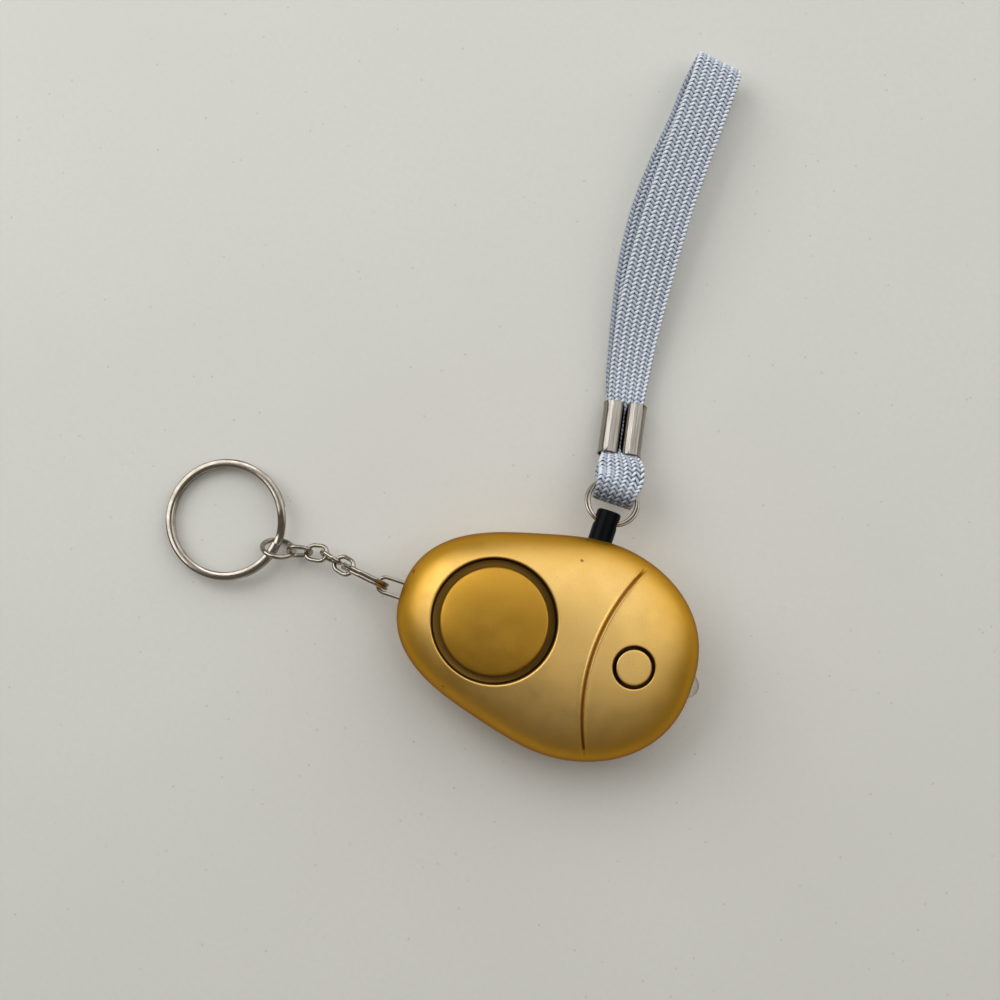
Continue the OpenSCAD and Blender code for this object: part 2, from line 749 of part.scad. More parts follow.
// Ring of two wire turns lying on each other
module split_ring(outer_r, w, h) {
    corner = 0.3 * min(w, h / 2);
    rotate_extrude() for (s = [0, 1]) translate([outer_r - w, (s - 1) * h / 2 - s * eps])
        turn_section(w, h / 2 + s * eps, corner);
}

// Wire section with cut corners on its outer side
module turn_section(w, h, c) {
    polygon([[0, 0], [w - c, 0], [w, c], [w, h - c], [w - c, h], [0, h]]);
}

module wire_ring(outer_r, wire) {
    rotate_extrude() translate([outer_r - wire / 2, 0]) circle(d = wire);
}

module posed(at, pose) {
    translate(at) rotate([0, 0, -pose[0]]) rotate([0, -pose[1], 0]) rotate([pose[2], 0, 0]) children();
}

module strap_ring() {
    color("silver") translate(pin_hook + (ring_arm - hole_bend) * ring_dir) rotate([-ring_drop, 0, 0])
        split_ring(strap_ring_r, small_wire, 2 * small_wire);
}

module clip_pose() {
    translate(clip_at) rotate([0, 0, clip_yaw]) rotate([-90 - clip_slope, 0, 0]) children();
}

// Two rolled barrels side by side on a back plate, open at both ends
module strap_clip() {
    color("silver") clip_pose() difference() {
        union() {
            for (s = [-1, 1]) translate([s * clip_r, 0, 0]) cylinder(r = clip_r, h = clip_length);
            translate([-clip_r, 0, 0]) cube([2 * clip_r, clip_r, clip_length]);
        }
        for (s = [-1, 1]) translate([s * clip_r, 0, -1]) cylinder(r = clip_bore_r, h = clip_length + 2);
        translate([-clip_r, -0.6, -1]) cube([2 * clip_r, 1.2 + fit_gap, clip_length + 2]);
    }
}

// One flat braid: the wrist loop, the part rolled into the clip and the fold round the strap ring
module wrist_strap() {
    loop = curve(loop_points, 2);
    fold = curve(fold_points, 2);
    fold_plan = curve([for (i = [0:len(fold_widths) - 1]) [fold_widths[i], fold_turn[i], 0]], 2);
    n = len(loop) - 1;
    m = len(fold) - 1;
    color("lightslategray") {
        skin([for (i = [0:n]) ring_on(
            loop[i],
            i == 0 ? clip_dir : i == n ? -clip_dir : heading(loop, i),
            let (yaw = clip_yaw - loop_turn * sin(180 * i / n)) [cos(yaw), sin(yaw), 0],
            flat_section(mouth_w + (strap_w - mouth_w) * min(1, 6 * min(i, n - i) / n), strap_t))]);
        skin([for (i = [0:m]) ring_on(
            fold[i],
            i == 0 ? -clip_dir : i == m ? clip_dir : heading(fold, i),
            fold_plan[i][1] * clip_side + (1 - fold_plan[i][1]) * [1, 0, 0],
            flat_section(fold_plan[i][0], strap_t))]);
        clip_pose() translate([0, 0, -core_proud]) {
            for (s = [-1, 1]) translate([s * clip_r, 0, 0]) cylinder(r = core_r, h = core_l);
            translate([-clip_r, -0.6 + fit_gap, 0]) cube([2 * clip_r, 1.2 - fit_gap, core_l]);
        }
    }
}

module chain_ring() {
    color("silver") posed(chain_ring_at, chain_ring_pose)
        split_ring(chain_ring_r, chain_ring_wire, 2 * chain_ring_wire);
}

// Oval wire link: two half-round bows and two straight sides
module oval_link() {
    bow_r = (link_width - link_wire) / 2;
    straight = link_length - link_width;
    for (s = [0, 180]) rotate(s) {
        translate([straight / 2, 0, 0]) rotate(-90) rotate_extrude(angle = 180)
            translate([bow_r, 0]) circle(d = link_wire);
        translate([-straight / 2, bow_r, 0]) rotate([0, 90, 0]) cylinder(d = link_wire, h = straight);
    }
}

module chain_link(i) {
    color("silver") posed(link_at(i), link_poses[i]) oval_link();
}

module jump_ring() {
    color("silver") posed(jump_at, jump_pose) wire_ring(jump_ring_r, jump_wire);
}

module key_ring() {
    color("silver") posed(key_at, key_pose) split_ring(key_ring_r, key_wire_w, key_wire_h);
}

upper_shell();
lower_shell();
siren_cover();
light_button();
case_screws();
key_staple();
piezo_plate();
piezo_ceramic();
piezo_gasket();
lamp();
lamp_leads();
circuit_board();
switch_body();
switch_plunger();
siren_chip();
boost_coil();
drive_transistor();
chip_parts();
cell(0);  // cell_1
cell(1);  // cell_2
cell(2);  // cell_3
contact_plate(cells_end);  // positive_contact
contact_plate(cell_x - spring_l - plate_t);  // negative_contact
cell_spring();
pull_pin();
contact_leaf();
leaf_terminal();
fixed_contact();
cell_wires();
piezo_leads();
strap_ring();
strap_clip();
wrist_strap();
chain_ring();
chain_link(0);  // chain_link_1
chain_link(1);  // chain_link_2
chain_link(2);  // chain_link_3
chain_link(3);  // chain_link_4
jump_ring();
key_ring();
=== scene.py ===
"""Looks of a personal safety alarm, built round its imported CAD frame.

A gold egg-shaped case carries a siren disc, a lamp button and a clear lamp. A black pull pin hangs on a
braided wrist strap by a small split ring and a nickel clip, and a short chain ends in a key ring. Shapes are
worked out in millimetres in the CAD frame: +X towards the lamp, +Y towards the pin, +Z out of the front, rest
face on z = 0.
"""
import logging
from dataclasses import dataclass, field
from enum import Enum
from typing import Sequence

import bpy
import numpy as np
from mathutils import Matrix, Vector
from mathutils.geometry import delaunay_2d_cdt

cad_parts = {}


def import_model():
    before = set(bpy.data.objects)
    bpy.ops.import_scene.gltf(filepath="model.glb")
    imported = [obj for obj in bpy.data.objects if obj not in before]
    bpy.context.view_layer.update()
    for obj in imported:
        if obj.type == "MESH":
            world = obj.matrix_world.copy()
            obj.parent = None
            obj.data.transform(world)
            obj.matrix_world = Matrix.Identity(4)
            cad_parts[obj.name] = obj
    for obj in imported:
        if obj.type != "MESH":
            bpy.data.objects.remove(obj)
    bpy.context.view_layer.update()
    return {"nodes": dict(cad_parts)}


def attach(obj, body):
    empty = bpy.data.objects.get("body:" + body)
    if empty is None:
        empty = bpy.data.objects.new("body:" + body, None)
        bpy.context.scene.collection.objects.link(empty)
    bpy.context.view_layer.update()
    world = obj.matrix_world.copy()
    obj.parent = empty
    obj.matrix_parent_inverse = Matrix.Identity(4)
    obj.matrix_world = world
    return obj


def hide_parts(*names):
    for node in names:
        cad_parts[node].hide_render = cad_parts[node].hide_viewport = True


Array = np.ndarray
Triple = tuple[float, float, float]
Socket = bpy.types.NodeSocket
MM = 0.001
TURN = 2 * np.pi
LOG = logging.getLogger("alarm")


class Slot(Enum):
    """Material slots of the record."""

    GOLD = "gold_shell"
    BLACK = "black_plastic"
    LENS = "clear_lens"
    NICKEL = "nickel"
    STEEL = "steel"
    BRASS = "brass"
    CERAMIC = "ceramic"
    FOAM = "foam"
    BOARD = "board"
    COIL = "coil"
    WIRE = "wire_skin"
    BRAID = "braid"


class Half(Enum):
    """The two shells of the case, by the way their dome points."""

    FRONT = 1
    REAR = -1


# Points, faces and meshes


@dataclass
class Surface:
    """Points in millimetres with the faces on them.

    Args:
        points: n x 3 places.
        faces: arrays of corner numbers, one array for each number of corners.
        uv: n x 2 places of the points on the piece's own pattern, if it has one.
        painted_shade: how much painted shade darkens each point, from 0 to 1, if the piece has any.
    """

    points: Array
    faces: list[Array]
    uv: Array | None = None
    painted_shade: Array | None = None

    def volume(self) -> float:
        """Signed volume: the sum of the tetrahedra from the origin to each face's fan of triangles."""
        total = 0.0
        for f in self.faces:
            a = self.points[f[:, 0]]
            for k in range(1, f.shape[1] - 1):
                b, c = self.points[f[:, k]], self.points[f[:, k + 1]]
                total += float(np.einsum("ij,ij->", a, np.cross(b, c))) / 6
        return total

    def outward(self) -> "Surface":
        """Turns a closed surface so that its faces point outwards."""
        if self.volume() < 0:
            self.faces = [f[:, ::-1] for f in self.faces]
        return self

    def moved(self, turn: Array, to: Array) -> "Surface":
        """The surface turned by a 3 x 3 matrix and carried to a place."""
        return Surface(self.points @ turn.T + to, self.faces)

    def mesh(self, name: str, sharp: float = 40.0) -> bpy.types.Mesh:
        """Puts the surface into a new mesh, in metres.

        Args:
            name: the mesh's name.
            sharp: edges that bend by more than this many degrees stay crisp.

        Returns:
            The mesh, smooth but for its crisp edges.
        """
        mesh = bpy.data.meshes.new(name)
        corners = np.concatenate([f.ravel() for f in self.faces]).astype(np.int32)
        sizes = np.concatenate([np.full(len(f), f.shape[1], np.int32) for f in self.faces])
        mesh.vertices.add(len(self.points))
        mesh.vertices.foreach_set("co", (self.points * MM).astype(np.float32).ravel())
        mesh.loops.add(len(corners))
        mesh.loops.foreach_set("vertex_index", corners)
        mesh.polygons.add(len(sizes))
        mesh.polygons.foreach_set("loop_start", np.cumsum(sizes, dtype=np.int32) - sizes)
        mesh.update(calc_edges=True)
        if self.uv is not None:
            layer = mesh.uv_layers.new(name="UVMap")
            layer.data.foreach_set("uv", self.uv[corners].astype(np.float32).ravel())
        # The painted_shade attribute carries painted shade in hollows, gaps, seams and under strands.
        if self.painted_shade is not None:
            dull = mesh.attributes.new("painted_shade", "FLOAT", "POINT")
            dull.data.foreach_set("value", self.painted_shade.astype(np.float32))
        mesh.validate()
        mesh.shade_smooth()
        mesh.set_sharp_from_angle(angle=np.radians(sharp))
        return mesh


def joined(parts: Sequence[Surface]) -> Surface:
    """Several surfaces as one, with their corner numbers moved up in turn."""
    starts = np.cumsum([0] + [len(p.points) for p in parts])
    faces = [f + starts[i] for i, p in enumerate(parts) for f in p.faces]
    painted_shade = np.concatenate([np.zeros(len(p.points)) if p.painted_shade is None else p.painted_shade for p in parts])
    return Surface(np.concatenate([p.points for p in parts]), faces, painted_shade=painted_shade)


def grid_quads(rows: int, cols: int, wrap: bool = False) -> Array:
    """Corner numbers of the quads on a grid of rows x cols points, whose columns may close into a tube."""
    i, j = np.meshgrid(np.arange(rows - 1), np.arange(cols - (not wrap)), indexing="ij")
    near, far, along = i * cols, (i + 1) * cols, (j + 1) % cols
    return np.stack([near + j, far + j, far + along, near + along], -1).reshape(-1, 4)


def capped(rows: int, cols: int) -> list[Array]:
    """Faces of a tube of rows x cols points, closed round its columns, with a face on each end."""
    ring = np.arange(cols)[None]
    return [grid_quads(rows, cols, True), ring, (rows - 1) * cols + ring[:, ::-1]]


def unit(v: Array) -> Array:
    """Vectors scaled to length one."""
    return v / np.linalg.norm(v, axis=-1, keepdims=True)


def headings(path: Array) -> Array:
    """Unit directions along a path, from each point's two neighbours."""
    return unit(np.gradient(path, axis=0))


def sweep(path: Array, across: Array, up: Array, section: Array) -> Surface:
    """A section carried along a path: each point is path + section x times across + section y times up.

    Args:
        path: n x 3 middle line.
        across: n x 3 directions of the section's x.
        up: n x 3 directions of the section's y.
        section: m x 2 outline, or n x m x 2 where it changes along the path.

    Returns:
        The closed surface.
    """
    section = np.broadcast_to(section, (len(path), *section.shape[-2:]))
    points = path[:, None] + section[..., :1] * across[:, None] + section[..., 1:] * up[:, None]
    return Surface(points.reshape(-1, 3), capped(*section.shape[:2])).outward()


def circle(x: float, y: float, r: float, count: int) -> Array:
    """Points round a circle in plan."""
    a = TURN * np.arange(count) / count
    return np.stack([x + r * np.cos(a), y + r * np.sin(a)], -1)


def lathe(profile: Sequence[tuple[float, float]], at: Triple, axis: int, count: int) -> Surface:
    """A profile turned about a line along one of the frame's axes.

    Args:
        profile: radii and places along the line.
        at: where the line starts.
        axis: number of the axis that it runs along.
        count: points on each circle.

    Returns:
        The closed surface.
    """
    r, run = np.array(profile).T
    along, across, up = np.roll(np.eye(3), -axis, 0)
    rows = np.ones((len(r), 1))
    section = r[:, None, None] * circle(0, 0, 1, count)
    return sweep(at + run[:, None] * along, rows * across, rows * up, section)


def rounded_section(half_w: float, half_h: float, power: float, count: int) -> Array:
    """A superellipse outline: x and y are cosine and sine raised to 2 / power, with their signs kept."""
    a = TURN * np.arange(count) / count
    c, s = np.cos(a), np.sin(a)
    return np.stack([half_w * np.sign(c) * np.abs(c) ** (2 / power),
                     half_h * np.sign(s) * np.abs(s) ** (2 / power)], -1)


def turned(yaw: float, slope: float, roll: float) -> Array:
    """The matrix of the CAD pose: a roll about X, then a slope about Y, then a yaw about Z, in degrees."""
    return np.array(Matrix.Rotation(np.radians(-yaw), 3, "Z") @ Matrix.Rotation(np.radians(-slope), 3, "Y")
                    @ Matrix.Rotation(np.radians(roll), 3, "X"))


def smooth(t: Array) -> Array:
    """A soft step: 0 below 0, 1 above 1, 3t^2 - 2t^3 between."""
    t = np.clip(t, 0, 1)
    return t * t * (3 - 2 * t)


def flowing(points: Array, extra: Array, step: float) -> tuple[Array, Array]:
    """A cubic curve through points, whose slope at each is the mean of its two chords weighted by length.

    Args:
        points: n x 3 points that the curve passes through.
        extra: n x k values that go with them.
        step: spacing of the new points along the curve, in millimetres.

    Returns:
        The curve's points at even spacing, and the values there.
    """
    both = np.concatenate([points, extra], 1)
    chord = np.linalg.norm(np.diff(points, axis=0), axis=1)
    knots = np.concatenate([[0], np.cumsum(chord)])
    slope = np.diff(both, axis=0) / chord[:, None]
    mid = (slope[:-1] * chord[1:, None] + slope[1:] * chord[:-1, None]) / (chord[1:] + chord[:-1])[:, None]
    tangent = np.concatenate([slope[:1], mid, slope[-1:]])
    x = np.linspace(0, knots[-1], 40 * len(points))
    i = np.clip(np.searchsorted(knots, x, "right") - 1, 0, len(chord) - 1)
    h = chord[i][:, None]
    t = ((x - knots[i]) / chord[i])[:, None]
    fine = ((1 + 2 * t) * (1 - t) ** 2 * both[i] + t * (1 - t) ** 2 * h * tangent[i]
            + t * t * (3 - 2 * t) * both[i + 1] + t * t * (t - 1) * h * tangent[i + 1])
    run = np.concatenate([[0], np.cumsum(np.linalg.norm(np.diff(fine[:, :3], axis=0), axis=1))])
    at = np.linspace(0, run[-1], int(round(run[-1] / step)) + 1)
    even = np.stack([np.interp(at, run, fine[:, k]) for k in range(fine.shape[1])], -1)
    return even[:, :3], even[:, 3:]


# Finishes


class Graph:
    """Short-hand for a material's nodes."""

    def __init__(self, name: str) -> None:
        """Starts an empty material with an output."""
        self.material = bpy.data.materials.new(name)
        self.material.use_nodes = True
        self.tree = self.material.node_tree
        self.tree.nodes.clear()
        self.end = self.tree.nodes.new("ShaderNodeOutputMaterial")

    def node(self, kind: str, inputs: dict | None = None, props: dict | None = None,
             out: str | int = 0) -> Socket:
        """Adds a node.

        Args:
            kind: the node's type, without its usual prefix.
            inputs: values or sockets by input name or number.
            props: the node's own settings.
            out: the output to hand back.

        Returns:
            The output socket.
        """
        node = self.tree.nodes.new("ShaderNode" + kind)
        for key, value in (props or {}).items():
            setattr(node, key, value)
        for key, value in (inputs or {}).items():
            if isinstance(value, Socket):
                self.tree.links.new(value, node.inputs[key])
            else:
                node.inputs[key].default_value = value
        return node.outputs[out]

    def place(self, uv: bool = False) -> Socket:
        """The piece's own coordinates, or its UV map."""
        return self.node("TexCoord", out="UV" if uv else "Object")

    def painted_shade(self) -> Socket:
        """How much painted shade darkens the piece at each point, from its own attribute."""
        return self.node("Attribute", props={"attribute_name": "painted_shade"}, out="Fac")

    def noise(self, at: Socket, scale: float, detail: float) -> Socket:
        """A cloudy pattern with so many lumps to the metre."""
        return self.node("TexNoise", {"Vector": at, "Scale": scale, "Detail": detail})

    def streaks(self, scale: Triple, detail: float) -> Socket:
        """A cloudy pattern on the UV map, stretched by a scale along each of its axes."""
        at = self.node("Mapping", {"Vector": self.place(uv=True), "Scale": scale})
        return self.noise(at, 1.0, detail)

    def spots(self, at: Socket, scale: float, core: float, edge: float, peak: float) -> Socket:
        """Round spots with so many cells to the metre.

        Args:
            at: coordinates.
            scale: cells to the metre.
            core, edge: distances from a cell's middle at which the spot begins and ends to fade, in cells.
            peak: value in the spot.

        Returns:
            The spots' strength.
        """
        away = self.node("TexVoronoi", {"Vector": at, "Scale": scale}, out="Distance")
        socket = self.node("ValToRGB", {"Fac": away})
        for stop, (where, value) in zip(socket.node.color_ramp.elements, ((core, peak), (edge, 0.0))):
            stop.position = where
            stop.color = (value, value, value, 1.0)
        return socket

    def mix(self, share: Socket, a: Socket | Triple, b: Socket | Triple) -> Socket:
        """Two colours mixed by a share; each is a socket or three numbers."""
        a, b = ((*c, 1.0) if isinstance(c, tuple) else c for c in (a, b))
        return self.node("Mix", {0: share, 6: a, 7: b}, {"data_type": "RGBA"}, 2)

    def between(self, value: Socket, low: float, high: float) -> Socket:
        """A value from 0.3 to 0.7 spread over low to high, and held there."""
        return self.node("MapRange", {"Value": value, "From Min": 0.3, "From Max": 0.7,
                                      "To Min": low, "To Max": high})

    def bump(self, height: Socket, depth: float, strength: float) -> Socket:
        """A relief of so many millimetres."""
        return self.node("Bump", {"Height": height, "Strength": strength, "Distance": depth * MM})

    def finish(self, **sockets) -> bpy.types.Material:
        """Ends the graph in one shader, whose inputs are given by name with _ for each space."""
        shader = self.node("BsdfPrincipled", {k.replace("_", " "): v for k, v in sockets.items()})
        self.tree.links.new(shader, self.end.inputs["Surface"])
        return self.material


@dataclass(frozen=True)
class Finish:
    """A finish with its own name; a subclass draws its nodes.

    Args:
        name: the material's name.
        slot: the record's slot that it belongs to; not used.
    """

    name: str
    slot: Slot

    def draw(self, g: Graph) -> bpy.types.Material:
        """Draws the nodes on an empty graph."""
        raise NotImplementedError

    def material(self) -> bpy.types.Material:
        """The material, drawn at its first use."""
        return bpy.data.materials.get(self.name) or self.draw(Graph(self.name))


@dataclass(frozen=True)
class SatinPaint(Finish):
    """Metallic lacquer: soft clouds of two shades, fine flake, and a few dark rubbed spots.

    Below a height its colour turns deeper and darker: painted shade on the flanks.

    Args:
        light: colour of the lighter clouds.
        deep: colour of the darker clouds.
        shaded_flank: colour of the painted shade on the flanks, a deeper, darker gold.
        rub_and_shade: colour of rubbed spots, and of the painted shade in hollows, gaps and seams.
        rough: middle roughness.
        edge: colour of its mirror light where the surface turns away.
        crown_z: height in metres above which there is no painted shade on the flanks.
        shaded_flank_z: height in metres below which the painted shade on the flanks is full.
        flakes, clouds, patches, marks, dust: lumps to the metre of the flake, the shades, the roughness, the
        rubbed spots and the dust.
        drift, jag, jags: shift of the marks, and how far and how often their outlines jump, in metres.
    """

    light: Triple
    deep: Triple
    shaded_flank: Triple
    rub_and_shade: Triple
    rough: float = 0.46
    edge: Triple = (0.1, 0.05, 0.005)
    crown_z: float = 0.0207
    shaded_flank_z: float = 0.0155
    flakes: float = 3600.0
    clouds: float = 70.0
    patches: float = 260.0
    marks: float = 140.0
    dust: float = 520.0
    drift: Triple = (0.0031, 0.0017, 0.0)
    jag: float = 0.0007
    jags: float = 1500.0

    def wear(self, g: Graph, at: Socket) -> Socket:
        """Rub marks and dust: spots on coordinates that jump by a fine noise, so that no spot is round."""
        jump = g.node("TexNoise", {"Vector": at, "Scale": self.jags}, out="Color")
        jump = g.node("VectorMath", {0: jump, "Scale": self.jag}, {"operation": "SCALE"})
        bent = g.node("Mapping", {"Vector": g.node("VectorMath", {0: at, 1: jump}), "Location": self.drift})
        mark = g.spots(bent, self.marks, 0.035, 0.06, 0.7)
        dot = g.spots(bent, self.dust, 0.03, 0.06, 0.35)
        return g.node("Math", {0: mark, 1: dot}, {"operation": "MAXIMUM"})

    def draw(self, g: Graph) -> bpy.types.Material:
        """Clouds and flake mix the colour, painted shade on the flanks deepens it, wear and painted shade in
        hollows dull it, flake gives relief.
        """
        at = g.place()
        flake = g.noise(at, self.flakes, 1.0)
        shade = g.mix(g.noise(at, self.clouds, 3.0), self.deep, self.light)
        shade = g.mix(g.between(flake, 0.0, 0.5), shade, self.deep)
        # Painted shade: below crown_z the colour turns to the shaded flank gold.
        height = g.node("SeparateXYZ", {"Vector": at}, out="Z")
        flank_shade = g.node("MapRange", {"Value": height, "From Min": self.crown_z, "From Max": self.shaded_flank_z},
                          {"interpolation_type": "SMOOTHSTEP"})
        shade = g.mix(flank_shade, shade, self.shaded_flank)
        shade = g.mix(self.wear(g, at), shade, self.rub_and_shade)
        # Painted shade in recesses, gaps, the groove and the seam, from the painted_shade attribute.
        shade = g.mix(g.painted_shade(), shade, self.rub_and_shade)
        rough = g.between(g.noise(at, self.patches, 4.0), self.rough - 0.05, self.rough + 0.05)
        return g.finish(Base_Color=shade, Metallic=1.0, Roughness=rough, Specular_Tint=(*self.edge, 1.0),
                        Coat_Weight=0.2, Coat_Roughness=0.35, Normal=g.bump(flake, 0.012, 0.5))


@dataclass(frozen=True)
class PlatedMetal(Finish):
    """Plated or bare metal with faint tarnish clouds and rolling marks.

    Args:
        bright: colour of clean metal.
        dull: colour where it is tarnished.
        rough: middle roughness.
        grain, fine: lumps to the metre of the tarnish and of the relief.
    """

    bright: Triple
    dull: Triple
    rough: float = 0.2
    grain: float = 420.0
    fine: float = 3000.0

    def draw(self, g: Graph) -> bpy.types.Material:
        """Tarnish mixes the colour and the roughness, fine grain gives a shallow relief."""
        at = g.place()
        tarnish = g.noise(at, self.grain, 4.0)
        relief = g.noise(at, self.fine, 2.0)
        return g.finish(Base_Color=g.mix(g.between(tarnish, 0.0, 1.0), self.bright, self.dull), Metallic=1.0,
                        Roughness=g.between(tarnish, self.rough - 0.06, self.rough + 0.08),
                        Normal=g.bump(relief, 0.003, 0.2))


@dataclass(frozen=True)
class BrushedSheet(PlatedMetal):
    """Plated sheet with fine streaks along its rolling direction, which is the first axis of its UV map.

    Args:
        slit: colour of the painted shade in the slit between its edges.
        broad, hair: streaks to the millimetre along and across the sheet, broad ones and fine ones.
    """

    slit: Triple = (0.006, 0.005, 0.005)
    broad: Triple = (0.12, 3.2, 1.0)
    hair: Triple = (0.5, 22.0, 1.0)

    def draw(self, g: Graph) -> bpy.types.Material:
        """Broad streaks and fine ones mix the colour, fine ones give the roughness and a shallow relief."""
        hair = g.streaks(self.hair, 2.0)
        shade = g.mix(g.between(g.streaks(self.broad, 5.0), 0.0, 1.0), self.bright, self.dull)
        shade = g.mix(g.between(hair, 0.0, 0.4), shade, self.dull)
        # The slit's near-black is painted shade, laid by the painted_shade attribute.
        return g.finish(Base_Color=g.mix(g.painted_shade(), shade, self.slit), Metallic=1.0,
                        Roughness=g.between(hair, self.rough - 0.06, self.rough + 0.06),
                        Normal=g.bump(hair, 0.004, 0.4))


@dataclass(frozen=True)
class Moulded(Finish):
    """Moulded plastic, ceramic or foam with a fine grain.

    Args:
        colour: main colour.
        tint: colour of the faint clouds.
        rough: middle roughness.
        grain: lumps to the metre of the relief.
        depth: relief in millimetres.
        gloss: strength of its mirror light.
        clouds: lumps to the metre of the clouds.
    """

    colour: Triple
    tint: Triple
    rough: float = 0.45
    grain: float = 2600.0
    depth: float = 0.012
    gloss: float = 0.5
    clouds: float = 300.0

    def draw(self, g: Graph) -> bpy.types.Material:
        """Clouds mix the two colours, the grain gives relief and roughness."""
        at = g.place()
        grain = g.noise(at, self.grain, 3.0)
        shade = g.mix(g.between(g.noise(at, self.clouds, 3.0), 0.0, 1.0), self.colour, self.tint)
        return g.finish(Base_Color=shade, Roughness=g.between(grain, self.rough - 0.06, self.rough + 0.06),
                        Specular_IOR_Level=self.gloss, Normal=g.bump(grain, self.depth, 0.6))


@dataclass(frozen=True)
class ClearResin(Finish):
    """Clear cast resin with a faint tint and a soft skin.

    Args:
        clear, milky: colours between its faint clouds and in them.
        clouds: lumps to the metre of the clouds.
    """

    clear: Triple = (0.99, 0.99, 1.0)
    milky: Triple = (0.93, 0.95, 0.96)
    clouds: float = 500.0

    def draw(self, g: Graph) -> bpy.types.Material:
        """Faint clouds tint the resin and soften its skin."""
        cloud = g.noise(g.place(), self.clouds, 2.0)
        return g.finish(Base_Color=g.mix(g.between(cloud, 0.0, 1.0), self.clear, self.milky), IOR=1.2,
                        Transmission_Weight=1.0, Roughness=g.between(cloud, 0.01, 0.04))


@dataclass(frozen=True)
class YarnSkin(Finish):
    """Filament yarn: fine fibres along each strand, lighter and darker strands.

    Args:
        pale: colour of the lit fibres.
        dusk: colour between the fibres.
        gap: colour of the painted shade where a strand goes under others, and under the turn at the fold.
        fibres: fibres to the millimetre along the strand, and to one turn round it.
        clouds: lumps to the metre of the darker stretches.
    """

    pale: Triple
    dusk: Triple
    gap: Triple
    fibres: Triple = (0.35, 9.0, 1.0)
    clouds: float = 120.0

    def draw(self, g: Graph) -> bpy.types.Material:
        """The UV map runs along the strand and round it, so stretched noise on it draws the fibres."""
        fibre = g.streaks(self.fibres, 3.0)
        cloud = g.noise(g.place(), self.clouds, 3.0)
        shade = g.mix(g.between(fibre, 0.0, 1.0), self.pale, self.dusk)
        shade = g.mix(g.between(cloud, 0.0, 0.25), shade, self.dusk)
        # Painted shade where a strand dips and near the fold, from the painted_shade attribute.
        shade = g.mix(g.painted_shade(), shade, self.gap)
        return g.finish(Base_Color=shade, Roughness=g.between(fibre, 0.32, 0.48), Sheen_Weight=0.25,
                        Sheen_Roughness=0.4, Normal=g.bump(fibre, 0.02, 0.5))


# The third colour is painted shade on the flanks; the fourth serves rubbed spots and painted shade in
# hollows.
GOLD = SatinPaint("gold_lacquer", Slot.GOLD, (0.9, 0.625, 0.265), (0.76, 0.465, 0.11), (0.66, 0.345, 0.025),
                  (0.045, 0.016, 0.001))
# Darker copy of the gold for the siren disc: painted shade for the dark reflection on its top.
SHADED_DISC_GOLD = SatinPaint("gold_disc_painted_shade", Slot.GOLD, (0.57, 0.315, 0.045), (0.44, 0.22, 0.014),
                       (0.5, 0.26, 0.02), (0.045, 0.016, 0.001), 0.44)
BLACK = Moulded("black_pin_plastic", Slot.BLACK, (0.0012, 0.0017, 0.0024), (0.0025, 0.0033, 0.0045), 0.3,
                gloss=0.06)
RESIN = ClearResin("clear_lamp_resin", Slot.LENS)
NICKEL = PlatedMetal("nickel_plate", Slot.NICKEL, (0.46, 0.415, 0.355), (0.3, 0.26, 0.21), 0.14)
SHEET = BrushedSheet("rolled_nickel_sheet", Slot.NICKEL, (0.45, 0.41, 0.365), (0.2, 0.178, 0.155), 0.17)
STEEL = PlatedMetal("steel", Slot.STEEL, (0.56, 0.56, 0.55), (0.42, 0.41, 0.4), 0.32, 600.0)
BRASS = PlatedMetal("brass", Slot.BRASS, (0.75, 0.53, 0.22), (0.58, 0.38, 0.14), 0.34, 300.0)
CERAMIC = Moulded("fired_ceramic", Slot.CERAMIC, (0.72, 0.70, 0.64), (0.62, 0.60, 0.55), 0.5)
FOAM = Moulded("black_foam", Slot.FOAM, (0.02, 0.02, 0.021), (0.04, 0.04, 0.042), 0.85, 1500.0, 0.08)
BOARD = Moulded("green_board", Slot.BOARD, (0.012, 0.09, 0.035), (0.02, 0.13, 0.05), 0.4, 1800.0)
COIL = PlatedMetal("coil_copper", Slot.COIL, (0.70, 0.33, 0.18), (0.45, 0.19, 0.09), 0.36, 1200.0)
WIRE = Moulded("wire_sleeve", Slot.WIRE, (0.35, 0.012, 0.012), (0.26, 0.008, 0.008), 0.42)
# Lit and shaded copies of one yarn: one family is painted lighter, the other darker, as painted light and
# shade.
LIT_YARN = YarnSkin("yarn_painted_lit", Slot.BRAID, (0.92, 0.96, 1.0), (0.74, 0.80, 0.89), (0.04, 0.046, 0.065))
SHADED_YARN = YarnSkin("yarn_painted_shaded", Slot.BRAID, (0.62, 0.68, 0.79), (0.42, 0.47, 0.57), (0.03, 0.036, 0.055))
# Near-black core seen between the strands: painted shade inside the hollow braid.
STRAP_CORE_SHADE = Moulded("strap_core_painted_shade", Slot.BRAID, (0.03, 0.034, 0.042), (0.055, 0.06, 0.072), 0.8, 1400.0, 0.05)

NODE_FINISHES: dict[Finish, tuple[str, ...]] = {
    BLACK: ("pull_pin", "switch_body", "siren_chip", "drive_transistor"),
    RESIN: ("lamp",),
    NICKEL: ("key_staple", "positive_contact", "negative_contact", "switch_plunger"),
    STEEL: ("case_screws", "lamp_leads", "cell_1", "cell_2", "cell_3", "cell_spring"),
    BRASS: ("piezo_plate", "contact_leaf", "leaf_terminal", "fixed_contact"),
    CERAMIC: ("piezo_ceramic", "chip_parts"),
    FOAM: ("piezo_gasket",),
    BOARD: ("circuit_board",),
    COIL: ("boost_coil",),
    WIRE: ("cell_wires", "piezo_leads"),
}


